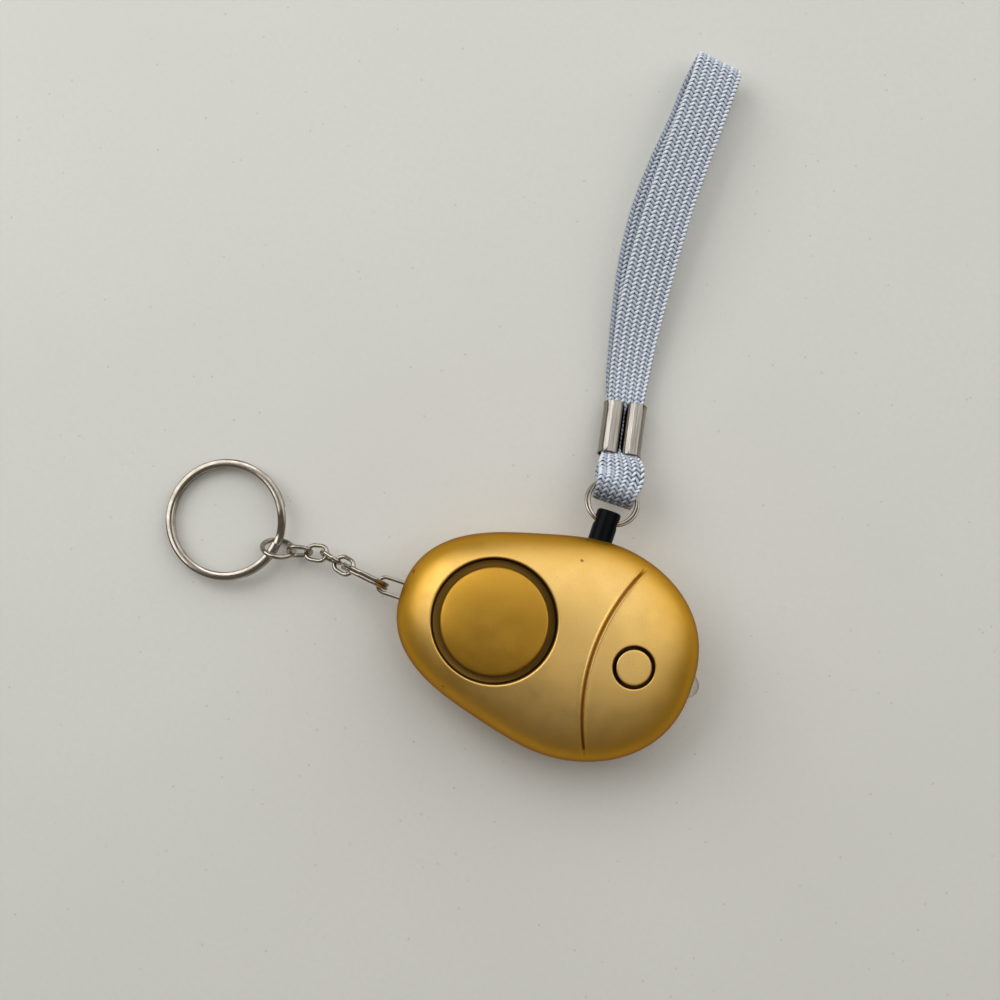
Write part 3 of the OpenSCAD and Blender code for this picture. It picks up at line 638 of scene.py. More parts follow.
def add_piece(mesh: bpy.types.Mesh, finish: Finish, body: str, nodes: Sequence[str] = ()) -> bpy.types.Object:
    """Makes a finished piece of a mesh.

    Args:
        mesh: the mesh, in place, in metres.
        finish: its finish.
        body: the CAD body that it moves with.
        nodes: the CAD nodes that it stands for.

    Returns:
        The new object.
    """
    piece = bpy.data.objects.new(mesh.name, mesh)
    bpy.context.scene.collection.objects.link(piece)
    mesh.materials.append(finish.material())
    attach(piece, body)
    if nodes:
        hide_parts(*nodes)
    LOG.info("%s rides on %s, %d faces", piece.name, body, len(mesh.polygons))
    return piece


def soften(piece: bpy.types.Object, width: float) -> None:
    """Rounds a piece's crisp edges by a small bevel."""
    bevel = piece.modifiers.new("soft_edges", "BEVEL")
    bevel.width = width * MM
    bevel.segments = 2
    bevel.limit_method = "ANGLE"
    bevel.angle_limit = np.radians(50)


def dress_nodes(nodes: dict[str, bpy.types.Object]) -> None:
    """Gives every CAD node that stays its finish."""
    for finish, names in NODE_FINISHES.items():
        for name in names:
            mesh = nodes[name].data
            mesh.materials.clear()
            mesh.materials.append(finish.material())
            LOG.info("%s is dressed in %s", name, finish.name)


# The case


@dataclass
class EggForm:
    """The egg outline and the dome on one half of it.

    Args:
        half: front or rear dome.
        height: rise of the dome from the parting plane.
        cut: rise at which it is cut flat.
        half_l, half_w, outline_power: half sizes of the outline, and how square it is.
        dome_power: how square the dome is.
        taper, step_rate, step_shift: how much the narrow end is slimmer, and how sharply and where.
        parting_z: height of the parting plane.
        mean_r: radius by which the rise counts when the dome is rolled out.
    """

    half: Half
    height: float
    cut: float
    half_l: float = 31.0
    half_w: float = 22.5
    outline_power: float = 2.3
    dome_power: float = 2.7
    taper: float = 0.1
    step_rate: float = 3.0
    step_shift: float = 0.08
    parting_z: float = 10.5
    mean_r: float = 26.0
    reach: Array = field(init=False)
    bearing: Array = field(init=False)
    share: Array = field(init=False)
    uncut: Array = field(init=False)
    rise: Array = field(init=False)
    run: Array = field(init=False)

    def __post_init__(self) -> None:
        """Tables: the outline's distance by bearing, and the dome's share, rise and run from its middle."""
        out = self.outline(np.linspace(-np.pi, np.pi, 8001))
        self.bearing = np.arctan2(out[:, 1], out[:, 0])
        self.bearing[0], self.bearing[-1] = -np.pi, np.pi
        self.reach = np.hypot(out[:, 0], out[:, 1])
        a = np.linspace(np.pi / 2, 0, 6001)
        self.share = np.cos(a) ** (2 / self.dome_power)
        self.share[0] = 0
        self.uncut = self.height * np.sin(a) ** (2 / self.dome_power)
        self.rise = np.minimum(self.uncut, self.cut)
        step = np.hypot(np.diff(self.share), np.diff(self.rise) / self.mean_r)
        self.run = np.concatenate([[0], np.cumsum(step)])

    def outline(self, a: Array) -> Array:
        """The egg: a superellipse whose width grows towards +X by a soft step, scaled to its full width."""
        def raw(b: Array) -> tuple[Array, Array]:
            """Outline of half length and half width one before scaling."""
            u = np.sign(np.cos(b)) * np.abs(np.cos(b)) ** (2 / self.outline_power)
            v = np.sign(np.sin(b)) * np.abs(np.sin(b)) ** (2 / self.outline_power)
            return u, v * (1 + self.taper * np.tanh(self.step_rate * (u + self.step_shift)))

        u, v = raw(a)
        widest = raw(np.radians(np.arange(0, 181, 2)))[1].max()
        return np.stack([self.half_l * u, self.half_w / widest * v], -1)

    def reach_at(self, bearing: Array) -> Array:
        """Distance from the middle to the outline in a direction."""
        return np.interp(bearing, self.bearing, self.reach)

    def rolled_out(self, bearing: Array, run: Array) -> Array:
        """The dome rolled out flat: its run from the middle, over the surface, along each bearing."""
        far = run * self.reach_at(bearing)
        return np.stack([far * np.cos(bearing), far * np.sin(bearing)], -1)

    def flat(self, plan: Array) -> Array:
        """Rolled-out places of points given in plan, away from the rim."""
        bearing = np.arctan2(plan[:, 1], plan[:, 0])
        share = np.hypot(plan[:, 0], plan[:, 1]) / self.reach_at(bearing)
        return self.rolled_out(bearing, np.interp(share, self.share, self.run))

    def raised(self, flat: Array) -> tuple[Array, Array, Array]:
        """Plan places, rises and shares of rolled-out points."""
        bearing = np.arctan2(flat[:, 1], flat[:, 0])
        reach = self.reach_at(bearing)
        run = np.hypot(flat[:, 0], flat[:, 1]) / reach
        share = np.interp(run, self.run, self.share)
        plan = (share * reach)[:, None] * np.stack([np.cos(bearing), np.sin(bearing)], -1)
        return plan, np.interp(run, self.run, self.rise), share

    def rise_at(self, x: Array, y: Array) -> Array:
        """Rise of the dome over a place in plan."""
        share = np.hypot(x, y) / self.reach_at(np.arctan2(y, x))
        return np.interp(share, self.share, self.rise)

    def on_rise(self, rise: Array) -> tuple[Array, Array]:
        """Share and run of the dome at a rise below its cut."""
        share = np.maximum(1 - (rise / self.height) ** self.dome_power, 0) ** (1 / self.dome_power)
        return share, np.interp(-rise, -self.uncut, self.run)


@dataclass
class Well:
    """A round recess in a dome: a rounded rim, a wall with a little draft and a floor or an open end.

    Args:
        x, y: its middle in plan.
        r: its radius.
        rim: radius of the rounded rim.
        floor: rise of its floor, or of its open end.
        open_end: it has no floor.
        draft: how much narrower it is at the bottom.
        painted_shade: how much painted shade darkens its inside.
        cove: radius between its wall and its floor.
        rim_steps: places of the points over the rim, in rim radii from the wall.
    """

    x: float
    y: float
    r: float
    rim: float
    floor: float
    open_end: bool = False
    draft: float = 0.15
    painted_shade: float = 0.8
    cove: float = 0.3
    rim_steps: tuple[float, ...] = (2.4, 1.6, 1.0, 0.82, 0.62, 0.42, 0.24, 0.1, 0.0)

    def away(self, plan: Array) -> Array:
        """Distance from the well's middle in plan."""
        return np.hypot(plan[:, 0] - self.x, plan[:, 1] - self.y)

    def rings(self, spacing: float) -> list[Array]:
        """Circles of points over the rim, down the wall and across the floor."""
        rim = self.r + self.rim * np.array(self.rim_steps)
        low = self.r - self.draft
        inner = np.array([low]) if self.open_end else np.concatenate(
            [[low, low - 0.05, low - 0.15, low - self.cove], np.arange(low - 1.0, 0.4, -1.6)])
        count = int(TURN * self.r / spacing)
        return [circle(self.x, self.y, r, max(8, int(count * min(1, r / low)))) for r in (*rim, *inner)]

    def sink(self, plan: Array, rise: Array) -> Array:
        """The rise with the well cut in: a quarter round at the rim, a straight wall, a cove, a floor."""
        d = self.away(plan)
        t = np.clip((self.r + self.rim - d) / self.rim, 0, 1)
        rise = rise - self.rim * (1 - np.sqrt(1 - t * t))
        down = np.clip((self.r - d) / self.draft, 0, 1)
        cove = 0.0 if self.open_end else self.cove
        wall = (1 - down) * rise + down * (self.floor + cove)
        v = np.clip(1 - (self.r - self.draft - d) / self.cove, 0, 1)
        ground = self.floor + cove * (1 - np.sqrt(1 - v * v))
        return np.where(d >= self.r, rise, np.where(d > self.r - self.draft - 1e-6, wall, ground))


@dataclass
class Case:
    """The two shells, the siren disc and the lamp button, with the lamp's inside.

    Args:
        siren_x, siren_well_r, floor_rise: middle and radius of the disc's recess, and the rise of its floor.
        cover_r, cover_drop, cover_rim, cover_gap: radius of the disc, how far it lies below the dome, radius
            of its rounded rim, and the air under it.
        feet_r, foot_r: radius of the circle that the disc's feet stand on, and of a foot.
        button_x, button_r, button_gap, button_proud, button_rim: middle and radius of the button, the air
            round it, how far it stands proud and radius of its rounded rim.
        collar_rise: rise of the collar that holds the button's flange.
        flange_w, flange_t, stem_r, stem_l: width and thickness of that flange, radius and length of the stem.
        pin_x, pin_bore_r: place and radius of the pin's bore on the parting plane.
        lamp_bore_r: radius of the lamp's bore.
        arc_x, arc_r, arc_w, arc_depth, arc_lip: middle, radius, half width and depth of the curved groove,
            and height of the lips beside it.
        arc_end: share of the outline at which the groove has run out.
        arc_steps: places of the lines of points across the groove, in half widths.
        skin: wall thickness that shows.
        seam, seam_rise: how far each shell is drawn in at the parting plane, and over which rise.
        low_rises, ring_step, ring_count, rim_count: rises of the rings of points next to the parting plane,
            run between the others, points on each, and points on the parting plane.
        clear: room left to the points of a well or of the groove, in rim radii or half widths.
        crown_rows, disc_count: rings of points on a round piece's top, and points on each.
        screws: places of the screws' wells.
    """

    siren_x: float = -11.2
    siren_well_r: float = 12.5
    floor_rise: float = 6.7
    cover_r: float = 10.8
    cover_drop: float = 0.35
    cover_rim: float = 0.45
    cover_gap: float = 1.0
    feet_r: float = 7.5
    foot_r: float = 1.1
    button_x: float = 17.8
    button_r: float = 3.55
    button_gap: float = 0.7
    button_proud: float = 0.15
    button_rim: float = 0.3
    collar_rise: float = 6.505
    flange_w: float = 1.5
    flange_t: float = 0.8
    stem_r: float = 2.0
    stem_l: float = 0.45
    pin_x: float = 4.0
    pin_bore_r: float = 2.58
    lamp_bore_r: float = 2.55
    arc_x: float = 49.2
    arc_r: float = 40.0
    arc_w: float = 0.36
    arc_depth: float = 0.5
    arc_lip: float = 0.13
    arc_end: float = 0.95
    arc_steps: tuple[float, ...] = (-2.4, -1.9, -1.6, -1.3, -1.0, -0.75, -0.5, -0.25, 0.0,
                                    0.25, 0.5, 0.75, 1.0, 1.3, 1.6, 1.9, 2.4)
    skin: float = 1.2
    seam: float = 0.12
    seam_rise: float = 0.3
    low_rises: tuple[float, ...] = (0.1, 0.2, 0.3, 0.5, 0.8)
    ring_step: float = 0.026
    ring_count: int = 215
    rim_count: int = 260
    clear: float = 2.9
    crown_rows: int = 13
    disc_count: int = 120
    front: EggForm = field(default_factory=lambda: EggForm(Half.FRONT, 10.5, 10.5))
    rear: EggForm = field(default_factory=lambda: EggForm(Half.REAR, 11.0, 10.5))
    screws: tuple[tuple[float, float], ...] = (
        (20, -12.3724), (-3.5, -15.7125), (20, 12.3724), (-3.5, 15.7125))

    def bore_edges(self, egg: EggForm) -> tuple[Array, Array]:
        """Where the pin's and the lamp's bores cut the dome.

        A bore's edge at an angle t stands r cos t above the parting plane and r sin t to its side. The dome's
        contour at that rise is the outline scaled by its share, so its bearing follows from the side step.

        Returns:
            Rolled-out points of the two edges.
        """
        t = np.linspace(-np.pi / 2, np.pi / 2, 25)
        edges = []
        for r, middle, axis, lo, hi in ((self.pin_bore_r, self.pin_x, 0, 140, 40),
                                        (self.lamp_bore_r, 0.0, 1, -60, 60)):
            share, run = egg.on_rise(np.maximum(r * np.cos(t), 0))
            a = np.radians(np.linspace(lo, hi, 2001))
            out = egg.outline(a)
            angle = np.interp((middle + r * np.sin(t)) / share, out[:, axis], a)
            there = egg.outline(angle)
            edges.append(egg.rolled_out(np.arctan2(there[:, 1], there[:, 0]), run))
        return edges[0], edges[1]

    def in_bore(self, plan: Array, rise: Array, room: float) -> Array:
        """Whether points lie in a bore made wider by some room."""
        pin = (np.hypot(plan[:, 0] - self.pin_x, rise) < self.pin_bore_r + room) & (plan[:, 1] > 0)
        lamp = (np.hypot(plan[:, 1], rise) < self.lamp_bore_r + room) & (plan[:, 0] > 0)
        return pin | lamp

    def off_arc(self, plan: Array) -> Array:
        """Distance in plan from the groove's middle line."""
        return np.abs(np.hypot(plan[:, 0] - self.arc_x, plan[:, 1]) - self.arc_r)

    def arc_lines(self) -> list[Array]:
        """Lines of points along the curved groove, at steps across it."""
        a = np.linspace(np.radians(180 - 33), np.radians(180 + 33), 121)
        lines = [np.stack([self.arc_x + (self.arc_r + d) * np.cos(a), (self.arc_r + d) * np.sin(a)], -1)
                 for d in self.arc_w * np.array(self.arc_steps)]
        return [p[np.hypot(p[:, 0], p[:, 1])
                  < self.arc_end * self.front.reach_at(np.arctan2(p[:, 1], p[:, 0]))] for p in lines]

    def body_points(self, egg: EggForm, wells: Sequence[Well], groove: bool) -> Array:
        """Rolled-out points on rings at even runs, except in the bores and near the wells and the groove."""
        _, low_runs = egg.on_rise(np.array(self.low_rises))
        crease = egg.run[np.argmax(egg.rise < egg.cut - 1e-9)] if egg.half is Half.REAR else 0.3
        runs = np.concatenate([low_runs, np.arange(low_runs[-1] - 0.02, 0.02, -self.ring_step), [crease]])
        counts = np.maximum(9, (self.ring_count * np.minimum(runs, 0.9)).astype(int))
        counts[:len(low_runs)] = self.rim_count
        shifts = 0.5 * (np.arange(len(runs)) % 2) * (np.arange(len(runs)) >= len(low_runs))
        bearings = [np.arctan2(*egg.outline(TURN * (np.arange(n) + shift) / n).T[::-1])
                    for n, shift in zip(counts, shifts)]
        body = np.concatenate([egg.rolled_out(b, np.full(len(b), r)) for b, r in zip(bearings, runs)])
        plan, rise, share = egg.raised(body)
        keep = ~self.in_bore(plan, rise, 0.3)
        for well in wells:
            keep &= well.away(plan) > well.r + self.clear * well.rim
        if groove:
            keep &= (self.off_arc(plan) > self.clear * self.arc_w) | (share > self.arc_end + 0.005)
        return body[keep]

    def edge_points(self, egg: EggForm) -> Array:
        """Rolled-out points round the shell's edge: the parting plane, broken by the two bores."""
        rim = egg.outline(TURN * np.arange(self.rim_count) / self.rim_count)
        whole = egg.rolled_out(np.arctan2(rim[:, 1], rim[:, 0]), np.full(len(rim), egg.run[-1]))
        edge = np.concatenate([whole, *self.bore_edges(egg)])
        plan, rise, _ = egg.raised(edge)
        edge = edge[~self.in_bore(plan, rise, -1e-3)]
        return edge[np.argsort(np.arctan2(edge[:, 1], edge[:, 0]))]

    def shell(self, egg: EggForm, wells: Sequence[Well], groove: bool) -> Surface:
        """One shell's skin, as triangles over the dome rolled out flat.

        Rings of points at even runs, circles round each well, lines along the groove and the bores' edges are
        joined by a Delaunay mesh in the rolled-out plane, then raised: the dome's rise, less the wells, less
        the groove, drawn in a little at the parting plane for the seam.

        Args:
            egg: the half of the case.
            wells: recesses in it.
            groove: it carries the curved groove.

        Returns:
            The open skin, facing out.
        """
        loops = [self.edge_points(egg), *(egg.flat(c) for well in wells for c in well.rings(0.55))]
        lines = [egg.flat(p) for p in self.arc_lines()] if groove else []
        starts = np.cumsum([0] + [len(p) for p in loops])
        ties = [np.stack([np.arange(len(p)), np.roll(np.arange(len(p)), -1)], -1) + s
                for p, s in zip(loops, starts)]
        cloud = np.concatenate([*loops, self.body_points(egg, wells, groove), *lines])
        flat, _, faces, *_ = delaunay_2d_cdt(list(map(Vector, cloud.tolist())),
                                             np.concatenate(ties).tolist(), [], 0, 1e-5)
        flat = np.array([p[:] for p in flat])
        faces = np.array(faces)
        plan, rise, share = egg.raised(flat)
        mid_plan, mid_rise, _ = egg.raised(flat[faces].mean(1))
        hole = self.in_bore(mid_plan, mid_rise, 0.0)
        painted_shade = np.zeros(len(plan))
        for well in wells:
            rise = well.sink(plan, rise)
            # Painted shade on each well's wall and floor.
            painted_shade = np.maximum(painted_shade, well.painted_shade * smooth((well.r - well.away(plan)) / well.draft))
            if well.open_end:
                hole |= well.away(mid_plan) < well.r - well.draft - 1e-3
        if groove:
            t = self.off_arc(plan) / self.arc_w
            fade = smooth((self.arc_end - share) / 0.1)
            cut = (1 - np.minimum(t, 1) ** 1.5) * fade
            lip = fade * smooth((t - 0.7) / 0.6) * smooth((2.4 - t) / 1.1)
            rise = rise - self.arc_depth * cut + self.arc_lip * lip
            # Painted shade along the groove's bottom.
            painted_shade = np.maximum(painted_shade, 0.6 * cut ** 3)
        seam = np.clip(1 - rise / self.seam_rise, 0, 1) ** 2
        # Painted shade along the seam at the parting plane.
        painted_shade = np.maximum(painted_shade, 0.5 * seam)
        plan = plan * (1 - self.seam * seam / np.hypot(plan[:, 0], plan[:, 1]).clip(1))[:, None]
        z = egg.parting_z + egg.half.value * rise
        used, faces = np.unique(faces[~hole], return_inverse=True)
        faces = faces.reshape(-1, 3)[:, ::egg.half.value]
        return Surface(np.column_stack([plan, z])[used], [faces], painted_shade=painted_shade[used])

    def add_shell(self, name: str, egg: EggForm, wells: Sequence[Well], groove: bool) -> None:
        """Adds a shell: its skin with a wall inside it."""
        piece = add_piece(self.shell(egg, wells, groove).mesh(name + "_skin"), GOLD, "case", [name])
        wall = piece.modifiers.new("wall", "SOLIDIFY")
        wall.thickness = self.skin * MM
        wall.offset = -1
        wall.use_quality_normals = True

    def crowned_disc(self, x: float, r: float, lift: float, rim: float,
                     foot: Sequence[tuple[float, float]]) -> Surface:
        """A round piece whose top follows the dome, moved by a lift, with a rounded rim.

        Points run out from the middle of the top, over the rim, then down the profile of the foot and back to
        the middle: each is a radius and a direction round the piece's axis.

        Args:
            x: middle of the piece.
            r: radius of its top.
            lift: how far its top stands over the dome.
            rim: radius of the rounded rim.
            foot: radii and heights of the profile below the rim.

        Returns:
            The closed surface.
        """
        quarter = np.radians(np.linspace(0, 90, 8))
        crown = np.linspace(0.02, 1, self.crown_rows + 1)[:-1] * (r - rim)
        radii = np.concatenate([crown, r - rim + rim * np.sin(quarter)])
        drop = np.concatenate([np.zeros(len(crown)), rim * (1 - np.cos(quarter))])
        low = np.array(foot)
        plan = np.concatenate([radii, low[:, 0]])[:, None, None] * circle(0, 0, 1, self.disc_count) + [x, 0]
        top = plan[:len(radii)]
        z = self.front.parting_z + self.front.rise_at(top[..., 0], top[..., 1]) + lift - drop[:, None]
        z = np.concatenate([z, np.repeat(low[:, 1:], self.disc_count, 1)])
        # Painted shade on the rim's edge and down the foot, where the piece sits in its recess.
        painted_shade = np.concatenate([np.zeros(len(radii) - 1), np.full(len(low) + 1, 0.95)])
        return Surface(np.dstack([plan, z]).reshape(-1, 3), capped(len(plan), self.disc_count),
                       painted_shade=np.repeat(painted_shade, self.disc_count)).outward()

    def add_cover(self) -> None:
        """Adds the bare siren disc, with its three feet."""
        floor = self.front.parting_z + self.floor_rise
        under, tuck = floor + self.cover_gap, 0.1
        disc = self.crowned_disc(self.siren_x, self.cover_r, -self.cover_drop, self.cover_rim,
                                 [(self.cover_r, under + tuck), (self.cover_r - tuck, under), (0.3, under)])
        head, toe = self.cover_gap + tuck, 0.06
        foot = ((0.05, head), (self.foot_r, head), (self.foot_r, toe), (0.05, toe))
        feet = [lathe(foot, (self.siren_x + x, y, floor), 2, 24)
                for x, y in circle(0, 0, self.feet_r, 12)[1::4]]
        # The disc wears the darker copy of the gold: painted shade.
        add_piece(joined([disc, *feet]).mesh("siren_disc"), SHADED_DISC_GOLD, "case", ["siren_cover"])

    def add_button(self) -> None:
        """Adds the lamp button: a crowned cap on a flange and a stem."""
        air = 0.05
        top = self.front.parting_z + self.collar_rise - air
        wide, under = self.button_r + self.flange_w, top - self.flange_t
        foot = [(self.button_r, top), (wide - air, top), (wide, top - air), (wide, under),
                (self.stem_r, under), (self.stem_r, under - self.stem_l), (0.3, under - self.stem_l)]
        cap = self.crowned_disc(self.button_x, self.button_r, self.button_proud, self.button_rim, foot)
        add_piece(cap.mesh("button_cap"), GOLD, "light_button", ["light_button"])

    def add_lamp_inside(self) -> None:
        """Adds the lamp's cup, with its die, and its post, seen through the resin."""
        z, foot, tip = self.front.parting_z, 25.6, 28.5
        cup = ((0.02, 27.9), (0.55, 27.9), (0.75, 28.6), (0.85, 28.6), (0.62, 27.2), (0.62, foot),
               (0.02, foot))
        anvil = lathe(cup, (0, -0.35, z), 0, 28)
        line = np.stack([np.linspace(foot, tip, 8), np.full(8, 1.05), np.full(8, z)], -1)
        post = sweep(line, np.tile([0.0, 1, 0], (8, 1)), np.tile([0.0, 0, 1], (8, 1)),
                     rounded_section(0.28, 0.28, 3.0, 12))
        add_piece(joined([anvil, post]).mesh("lamp_anvil"), STEEL, "case")

    def build(self) -> None:
        """Builds the case's pieces."""
        # Each well's inside is darkened by painted shade: the disc's recess, the button's bore and the screw
        # seats.
        siren = Well(self.siren_x, 0, self.siren_well_r, 0.5, self.floor_rise)
        bore = Well(self.button_x, 0, self.button_r + self.button_gap, 0.3, self.collar_rise, open_end=True,
                    draft=0.08, painted_shade=0.95)
        self.add_shell("upper_shell", self.front, [siren, bore], True)
        seats = [Well(x, y, 2.05, 0.2, 4.45, draft=0.06) for x, y in self.screws]
        self.add_shell("lower_shell", self.rear, seats, False)
        self.add_cover()
        self.add_button()
        self.add_lamp_inside()


# Rings and links


@dataclass
class SplitRing:
    """A ring of two turns of wire, one on the other, whose ends meet at the step between them.

    Args:
        name, node, body: the piece, the CAD node that it stands for, and its body.
        at, pose: middle, and yaw, slope and roll in degrees.
        outer_r: outer radius.
        w, h: width of the wire in the ring's plane, and height of both turns.
        step_at: bearing of the step in degrees.
        power: how square the wire is.
        step_half: half the angle of the step.
        spread: how far the two turns lie apart at the sides.
        spacing, sides: run between the wire's sections, and points on each.
        end_gap: angle left free at each end of the wire.
    """

    name: str
    node: str
    body: str
    at: Triple
    pose: Triple
    outer_r: float
    w: float
    h: float
    step_at: float
    power: float = 2.0
    step_half: float = 0.42
    spread: float = 0.0
    spacing: float = 0.32
    sides: int = 20
    end_gap: float = 0.03

    def build(self) -> None:
        """Carries the wire's section along two turns that climb by one wire over the step.

        Where the turns are spread, the first is wider and the second narrower by that much at the ring's
        sides, by the square of the cosine of the bearing.
        """
        count = 2 * int(TURN * self.outer_r / self.spacing)
        end = self.step_half + self.end_gap
        t = np.linspace(end, 2 * TURN - end, count)
        a = t + np.radians(self.step_at)
        climb = smooth((t - TURN + self.step_half) / (2 * self.step_half)) - 0.5
        mean = self.outer_r - self.w / 2 - self.spread * climb * np.cos(a) ** 2
        path = np.stack([mean * np.cos(a), mean * np.sin(a), climb * self.h / 2], -1)
        across = np.stack([np.cos(a), np.sin(a), np.zeros(count)], -1)
        up = unit(np.cross(headings(path), -across))
        section = rounded_section(self.w / 2, self.h / 4, self.power, self.sides)
        ring = sweep(path, across, up, section).moved(turned(*self.pose), np.array(self.at))
        piece = add_piece(ring.mesh(self.name, 50.0), NICKEL, self.body, [self.node])
        soften(piece, 0.06)


@dataclass
class WireLoop:
    """A closed loop of round wire, straight between two half circles, with a butt joint in one side.

    Args:
        name, node, body: the piece, the CAD node that it stands for, and its body.
        at, pose: middle, and yaw, slope and roll in degrees.
        length, width: outer sizes.
        wire: wire diameter.
        twist: how far the loop is wrung about its length, in degrees at each end.
        joint_at: place of the butt joint round the loop, as a share of it.
        joint: gap of the butt joint.
        rows, sides: sections along the wire, and points on each.
    """

    name: str
    node: str
    body: str
    at: Triple
    pose: Triple
    length: float
    width: float
    wire: float
    twist: float = 0.0
    joint_at: float = 0.2
    joint: float = 0.05
    rows: int = 108
    sides: int = 18

    def build(self) -> None:
        """Carries a circle along the stadium, wrung about X, leaving a hair's gap at the joint."""
        bow = (self.width - self.wire) / 2
        straight = self.length - self.width
        whole = 2 * straight + TURN * bow
        s = (np.linspace(self.joint / 2, whole - self.joint / 2, self.rows) + self.joint_at * whole) % whole
        half = s % (whole / 2)
        a = np.clip((half - straight) / bow, 0, np.pi)
        x = np.minimum(half, straight) - straight / 2 + bow * np.sin(a)
        y = -bow * np.cos(a)
        flip = np.where(s < whole / 2, 1.0, -1.0)
        x, y = x * flip, y * flip
        wring = np.radians(self.twist) * x / (self.length / 2)
        path = np.stack([x, y * np.cos(wring), y * np.sin(wring)], -1)
        side = headings(path)
        flat = np.stack([np.zeros_like(x), -np.sin(wring), np.cos(wring)], -1)
        up = unit(flat - np.sum(flat * side, -1, keepdims=True) * side)
        section = rounded_section(self.wire / 2, self.wire / 2, 2.0, self.sides)
        loop = sweep(path, np.cross(side, up), up, section).moved(turned(*self.pose), np.array(self.at))
        soften(add_piece(loop.mesh(self.name, 50.0), NICKEL, self.body, [self.node]), 0.05)


KEY_CHAIN: tuple[SplitRing | WireLoop, ...] = (
    SplitRing("chain_split_ring", "chain_ring", "chain_ring", (-39.1006, 0.4217, 9.1654), (8, 23.7705, 90),
              5.25, 0.8, 1.6, 200.0),
    WireLoop("curb_link_1", "chain_link_1", "chain_link_1", (-44.1549, 1.1795, 6.8564), (12, 27.7322, -6),
             5.6, 4.2, 0.9, 9.0),
    WireLoop("curb_link_2", "chain_link_2", "chain_link_2", (-47.3945, 1.7813, 5.1759), (8, 25.7514, 78),
             5.6, 4.2, 0.9, 9.0),
    WireLoop("curb_link_3", "chain_link_3", "chain_link_3", (-50.7639, 1.8513, 3.7636), (-10, 16.8374, -16),
             5.6, 4.2, 0.9, 9.0),
    WireLoop("curb_link_4", "chain_link_4", "chain_link_4", (-54.2769, 1.0886, 3.13), (-16, -2, 62),
             5.6, 4.2, 0.9, 9.0),
    WireLoop("jump_loop", "jump_ring", "jump_ring", (-58.7231, 0.2112, 3.2504), (-6, -1, -56),
             7.6, 7.6, 1.05, 0.0, 0.62),
    SplitRing("key_split_ring", "key_ring", "key_ring", (-71.0472, 2.469, 2.4159), (16, 5.4, 0),
              12.7, 1.7, 2.0, 28.0, 3.2, 0.3),
)


# The wrist strap


@dataclass
class StrapClip:
    """The nickel clip: one sheet rolled into two barrels that meet in a slit at the front.

    Args:
        at, along, side: lower mouth, direction of the barrels and direction across them.
        yaw: bearing of the direction across them, in degrees.
        length: length of the barrels.
        barrel_r, sheet: outer radius of a barrel and thickness of the sheet.
        slit: half the width of the strip of painted shade where the barrels meet.
        curl: how far past its side each edge of the sheet turns in, in degrees.
        air: half the air between the barrels.
        flare, flare_run: how much the mouths widen, and over which share of the length.
        rows: sections along the barrels.
    """

    at: Array = field(default_factory=lambda: np.array([2.4, 40.6525, 5.0]))
    along: Array = field(default_factory=lambda: np.array([-0.169854, 0.963287, -0.207912]))
    side: Array = field(default_factory=lambda: np.array([0.984808, 0.173648, 0.0]))
    yaw: float = 10.0
    length: float = 11.2
    barrel_r: float = 2.2
    sheet: float = 0.35
    slit: float = 0.62
    curl: float = 38.0
    air: float = 0.06
    flare: float = 0.035
    flare_run: float = 0.03
    rows: int = 24

    @property
    def up(self) -> Array:
        """Direction out of the clip's front."""
        return np.cross(self.side, self.along)

    @property
    def top(self) -> Array:
        """Upper mouth."""
        return self.at + self.length * self.along

    def build(self) -> bpy.types.Object:
        """Carries the rolled sheet's outline along the barrels.

        The sheet's middle line starts in the slit, runs round one barrel, over the back, round the other
        barrel and back into the slit. Half its thickness to each side gives the outline.
        """
        r, apart = self.barrel_r - self.sheet / 2, self.barrel_r + self.air
        one = np.radians(np.linspace(-self.curl, 270, 60))
        two = np.radians(np.linspace(-90, 180 + self.curl, 60))
        line = np.concatenate([np.stack([r * np.cos(one) - apart, r * np.sin(one)], -1),
                               np.stack([r * np.cos(two) + apart, r * np.sin(two)], -1)])
        step = headings(line)
        normal = np.stack([-step[:, 1], step[:, 0]], -1)
        outline = np.concatenate([line + normal * self.sheet / 2, (line - normal * self.sheet / 2)[::-1]])
        t = np.linspace(0, 1, self.rows)
        flare = 1 + self.flare * (np.exp(-t / self.flare_run) + np.exp(-(1 - t) / self.flare_run))
        path = self.at + t[:, None] * self.length * self.along
        clip = sweep(path, np.tile(self.side, (self.rows, 1)), np.tile(self.up, (self.rows, 1)),
                     flare[:, None, None] * outline)
        run = np.concatenate([[0], np.cumsum(np.linalg.norm(np.diff(outline, axis=0), axis=1))])
        clip.uv = np.stack(np.broadcast_arrays(t[:, None] * self.length, run), -1).reshape(-1, 2)
        # Painted shade along the slit where the barrels meet, on the front only.
        slit = smooth((self.slit - np.abs(outline[:, 0])) / 0.25) * (outline[:, 1] > -1)
        clip.painted_shade = np.tile(slit, self.rows)
        piece = add_piece(clip.mesh("rolled_clip", 35.0), SHEET, "strap", ["strap_clip"])
        soften(piece, 0.08)
        return piece


